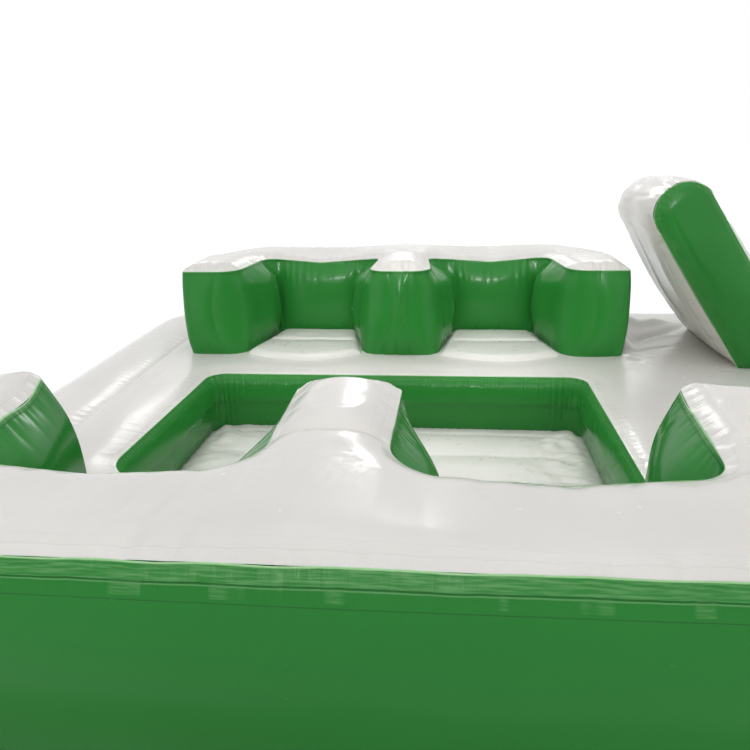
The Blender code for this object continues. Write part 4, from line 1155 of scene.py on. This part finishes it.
def keeper_piece():
    """The tarpaulin arch that holds the ring on its patch, with a bore and a face at each end."""
    bore, wide, half, foot = 0.0036, 0.0071, 0.017, 0.0105
    arc, full = np.linspace(-0.35, math.pi + 0.35, 22), np.linspace(-math.pi / 2, 1.5 * math.pi, 24)
    arch = [(wide * math.cos(a), RING_AXIS + wide * math.sin(a)) for a in arc]
    arch = [(foot, 0.0028), *arch, (-foot, 0.0028)]
    hole = [(bore * math.cos(a), RING_AXIS + bore * math.sin(a)) for a in full]
    count, size, points, faces = len(arch), len(hole), [], []
    for x, shrink in ((-half, 0.0006), (-half + 0.0015, 0.0), (half - 0.0015, 0.0), (half, 0.0006)):
        points += [(x, y * (1 - 90 * shrink), z - shrink * (z > 0.006)) for y, z in arch]
    for low in (0, count, 2 * count):
        faces += [(low + i, low + i + 1, low + count + i + 1, low + count + i) for i in range(count - 1)]
    start = len(points)
    points += [(x, y, z) for x in (-half, half) for y, z in hole]
    faces += [(start + i, start + size + i, start + size + i + 1, start + i + 1) for i in range(size - 1)]
    for end, first in ((0, start), (3, start + size)):
        for i in range(count - 1):
            a, b = i * (size - 1) // (count - 1), (i + 1) * (size - 1) // (count - 1)
            face = [end * count + i, end * count + i + 1, *range(first + b, first + a - 1, -1)]
            faces.append(face if end else face[::-1])
    return np.array(points), faces


def build_rings(steel, green):
    ring, keeper = ring_piece(), keeper_piece()
    disc = turned_mesh([
        (0.0, 0.0030), (0.0330, 0.0030), (0.0345, 0.0024),
        (0.0400, 0.0024), (0.0412, 0.0030), (0.0436, 0.0028),
        (PATCH_RADIUS, 0.0014), (PATCH_RADIUS, 0.0),
    ])
    rim_away = PATCH_RADIUS - np.linalg.norm(disc[0][:, :2], axis=1)
    weld = np.concatenate([rim_away, np.full(len(keeper[0]), 0.1)])
    for side_name, sign in (("front", -1), ("rear", 1)):
        for hand in ("left", "right"):
            name = f"{side_name}_{hand}_mooring"
            place = fitting_frame(f"{name}_patch", (0, sign, 0))
            fitting(
                f"{name}_steel_ring", [ring], place, steel, "stainless_steel", f"{name}_ring",
                moves=True, sharp=80,
            )
            fitting(
                f"{name}_welded_patch", [disc, keeper], place, green, "green_tarpaulin", f"{name}_patch",
                weld=weld, along=np.full(len(weld), 0.1),
            )


def build_handles(webbing):
    half, grip, wide, thick = 0.150, 0.095, 0.020, 0.0026  # half lengths and half width, and the thickness
    ends = np.linspace(grip, half, 14)[1:]
    xs = np.concatenate([-ends[::-1], np.linspace(-grip, grip, 60), ends])
    across = np.linspace(-wide, wide, 17)
    share = np.clip(xs / grip, -1, 1)
    rise = 0.0008 + (0.0385 - thick) * np.cos(share * math.pi / 2) ** 1.15
    x, y = np.meshgrid(xs, across, indexing="ij")
    low = rise[:, None] - 0.0035 * smooth(np.abs(share), 0.9, 0.2)[:, None] * (across / wide) ** 2
    high = low + thick * np.minimum(1, (wide + 0.0005 - np.abs(y)) / 0.0018) ** 0.5
    points = np.concatenate([np.stack([x, y, z], -1).reshape(-1, 3) for z in (high, low)])
    rows, columns = x.shape
    index = np.arange(x.size).reshape(rows, columns)
    rim = np.concatenate([index[:, 0], index[-1, 1:], index[-2::-1, -1], index[0, -2:0:-1]])
    sheet = grid_faces(rows, columns, closed=False)
    band = np.stack([rim + x.size, np.roll(rim, -1) + x.size, np.roll(rim, -1), rim], -1)
    strap = points, np.concatenate([sheet, sheet[:, ::-1] + x.size, band])
    along = np.tile(np.repeat(path_lengths(np.c_[xs, rise]), columns), 2)
    weld = np.tile(wide - np.abs(across), 2 * rows)
    for end, sign in (("left_end", -1), ("right_end", 1)):
        for hand in ("front", "rear"):
            name = f"{end}_{hand}_grab_handle"
            fitting(
                f"{name}_strap", [strap], fitting_frame(name, (sign, 0, 0)), webbing, "webbing", name,
                sharp=70, weld=weld, along=along,
            )


# Stage and camera


def seen_directly(tree):
    """1 for rays from the camera, through clear things or off glossy ones."""
    kinds = ("Is Camera Ray", "Is Transmission Ray", "Is Glossy Ray")
    camera, clear, glossy = (add_node(tree, "ShaderNodeLightPath", output=kind) for kind in kinds)
    return camera.larger(clear).larger(glossy)


def build_stage():
    """A room that is white where it is looked at, and grey where it only lights, with a floor."""
    scene = bpy.context.scene
    scene.view_settings.view_transform = "Standard"
    world = bpy.data.worlds.new("studio")
    scene.world = world
    world.use_nodes = True
    tree = world.node_tree
    ambient = tree.nodes["Background"]
    plug(ambient, {"Color": (0.93, 0.96, 1.0, 1), "Strength": 0.74})
    white = add_node(tree, "ShaderNodeBackground", {"Color": (1, 1, 1, 1), "Strength": 1.0})
    either = {0: seen_directly(tree), 1: Wire(ambient.outputs[0]), 2: white}
    plug(tree.nodes["World Output"], {"Surface": add_node(tree, "ShaderNodeMixShader", either)})

    mesh = bpy.data.meshes.new("studio_floor")
    corners = [(x, y, 0) for x, y, _ in rectangle(-FLOOR_REACH, FLOOR_REACH, -FLOOR_REACH, FLOOR_REACH, 0)]
    mesh.from_pydata(corners, [], [range(4)])
    floor = bpy.data.objects.new("studio_floor", mesh)
    scene.collection.objects.link(floor)
    mat, tree, shader = start_material("studio_floor")
    plug(shader, {
        "Base Color": (0.45, 0.45, 0.45, 1), "Roughness": 0.9, "Emission Color": (1, 1, 1, 1),
        "Emission Strength": seen_directly(tree) * 0.66,
    })
    mesh.materials.append(mat)


LIGHTS = (  # name, place and target from the well's middle, size, power, spread in degrees
    ("overhead", (-0.10, 0.2, 6.5), (0.30, 0.0, 0.0), (7, 5), 84, 180),
    ("far_window", (-0.40, 8.2, 4.5), (0.15, 0.0, 0.5), (1.5, 2.4), 66, 180),
    ("right_window", (2.40, 8.2, 4.4), (1.12, 0.1, 0.4), (0.7, 1.0), 0.21, 10),
    ("side_window", (-4.3, 8.0, 4.6), (-1.3, 0.6, 0.4), (1.2, 1.2), 0.19, 14),
    ("rear_spot", (0.2, -9.0, 2.9), (0.35, 1.1, 0.68), (3.2, 0.5), 2.6, 14),
    ("front_fill", (0.05, -14.0, 9.0), (0.25, 0.0, 0.4), (12.0, 6.0), 225, 180),
    ("well_light", (0.1, 0.3, 5.5), (0.1, 0.2, 0.1), (1.6, 0.8), 3.2, 34),
    ("back_window", (0.8, -11.0, 4.4), (0.2, 1.2, 0.6), (3.0, 0.35), 55, 180),
)


def build_lights():
    for name, place, target, size, power, spread in LIGHTS:
        data = bpy.data.lights.new(name, "AREA")
        data.shape = "RECTANGLE"
        data.size, data.size_y = size
        data.energy = power
        data.spread = math.radians(spread)
        obj = bpy.data.objects.new(name, data)
        obj.location = (WELL_X + place[0], *place[1:])
        obj.rotation_euler = (Vector(target) - Vector(place)).to_track_quat("-Z", "Y").to_euler()
        bpy.context.scene.collection.objects.link(obj)
        obj.visible_camera = False


def build_camera():
    yaw, pitch, roll = CAMERA_YAW, CAMERA_PITCH, CAMERA_ROLL
    forward = Vector((-math.sin(yaw) * math.cos(pitch), math.cos(yaw) * math.cos(pitch), -math.sin(pitch)))
    right = Vector((math.cos(yaw), math.sin(yaw), 0))
    up = right.cross(forward)
    rolled_right = math.cos(roll) * right + math.sin(roll) * up
    rolled_up = -math.sin(roll) * right + math.cos(roll) * up
    data = bpy.data.cameras.new("camera")
    data.lens = CAMERA_LENS
    data.sensor_width = 36.0
    obj = bpy.data.objects.new("camera", data)
    turn = Matrix((rolled_right, rolled_up, -forward)).transposed().to_4x4()
    obj.matrix_world = Matrix.Translation(CAMERA_PLACE) @ turn
    bpy.context.scene.collection.objects.link(obj)
    bpy.context.scene.camera = obj


build_camera()
build_stage()
build_lights()
green = tarpaulin(
    "green_tarpaulin", GREEN, GREEN_EDGE, roughness=0.24, specular=0.18, coat=0.12, lines=0.30
)
# Painted shade: a darker copy of the green for the front bench's walls, with the weld's marks at full
# strength.
green_front_painted_shade = tarpaulin(
    "green_tarpaulin_front_painted_shade", GREEN_FRONT_PAINTED_SHADE, GREEN_EDGE, roughness=0.24, specular=0.18, coat=0.12, lines=1.0
)
white = tarpaulin(
    "white_tarpaulin", WHITE, WHITE_EDGE, roughness=0.24, specular=0.22, coat=0.24, lines=0.14
)
floor_white = tarpaulin(
    "floor_tarpaulin", FLOOR_WHITE, WHITE_EDGE, roughness=0.30, specular=0.30, coat=0.20, lines=0.12
)
build_bench(front=False, green=green, white=white, spacing=0.011)
build_bench(front=True, green=green_front_painted_shade, white=white, spacing=0.008)
build_platform(white)
build_tube(white, green)
build_underside(white)
build_lining(green)
build_floor(floor_white)
for is_front in (False, True):
    for side in (-1, 1):
        build_pad(is_front, side, floor_white)
for where in ("rear", "front"):
    build_backrest(where, white, green)
valve_plastic = plain_plastic("valve_plastic", PLASTIC, roughness=0.38)
cap_plastic = plain_plastic("cap_plastic", CAP_BLACK, roughness=0.42)
build_valves(valve_plastic, cap_plastic)
build_rings(bent_steel("stainless_steel"), green)
build_handles(woven_webbing("webbing", WEBBING))
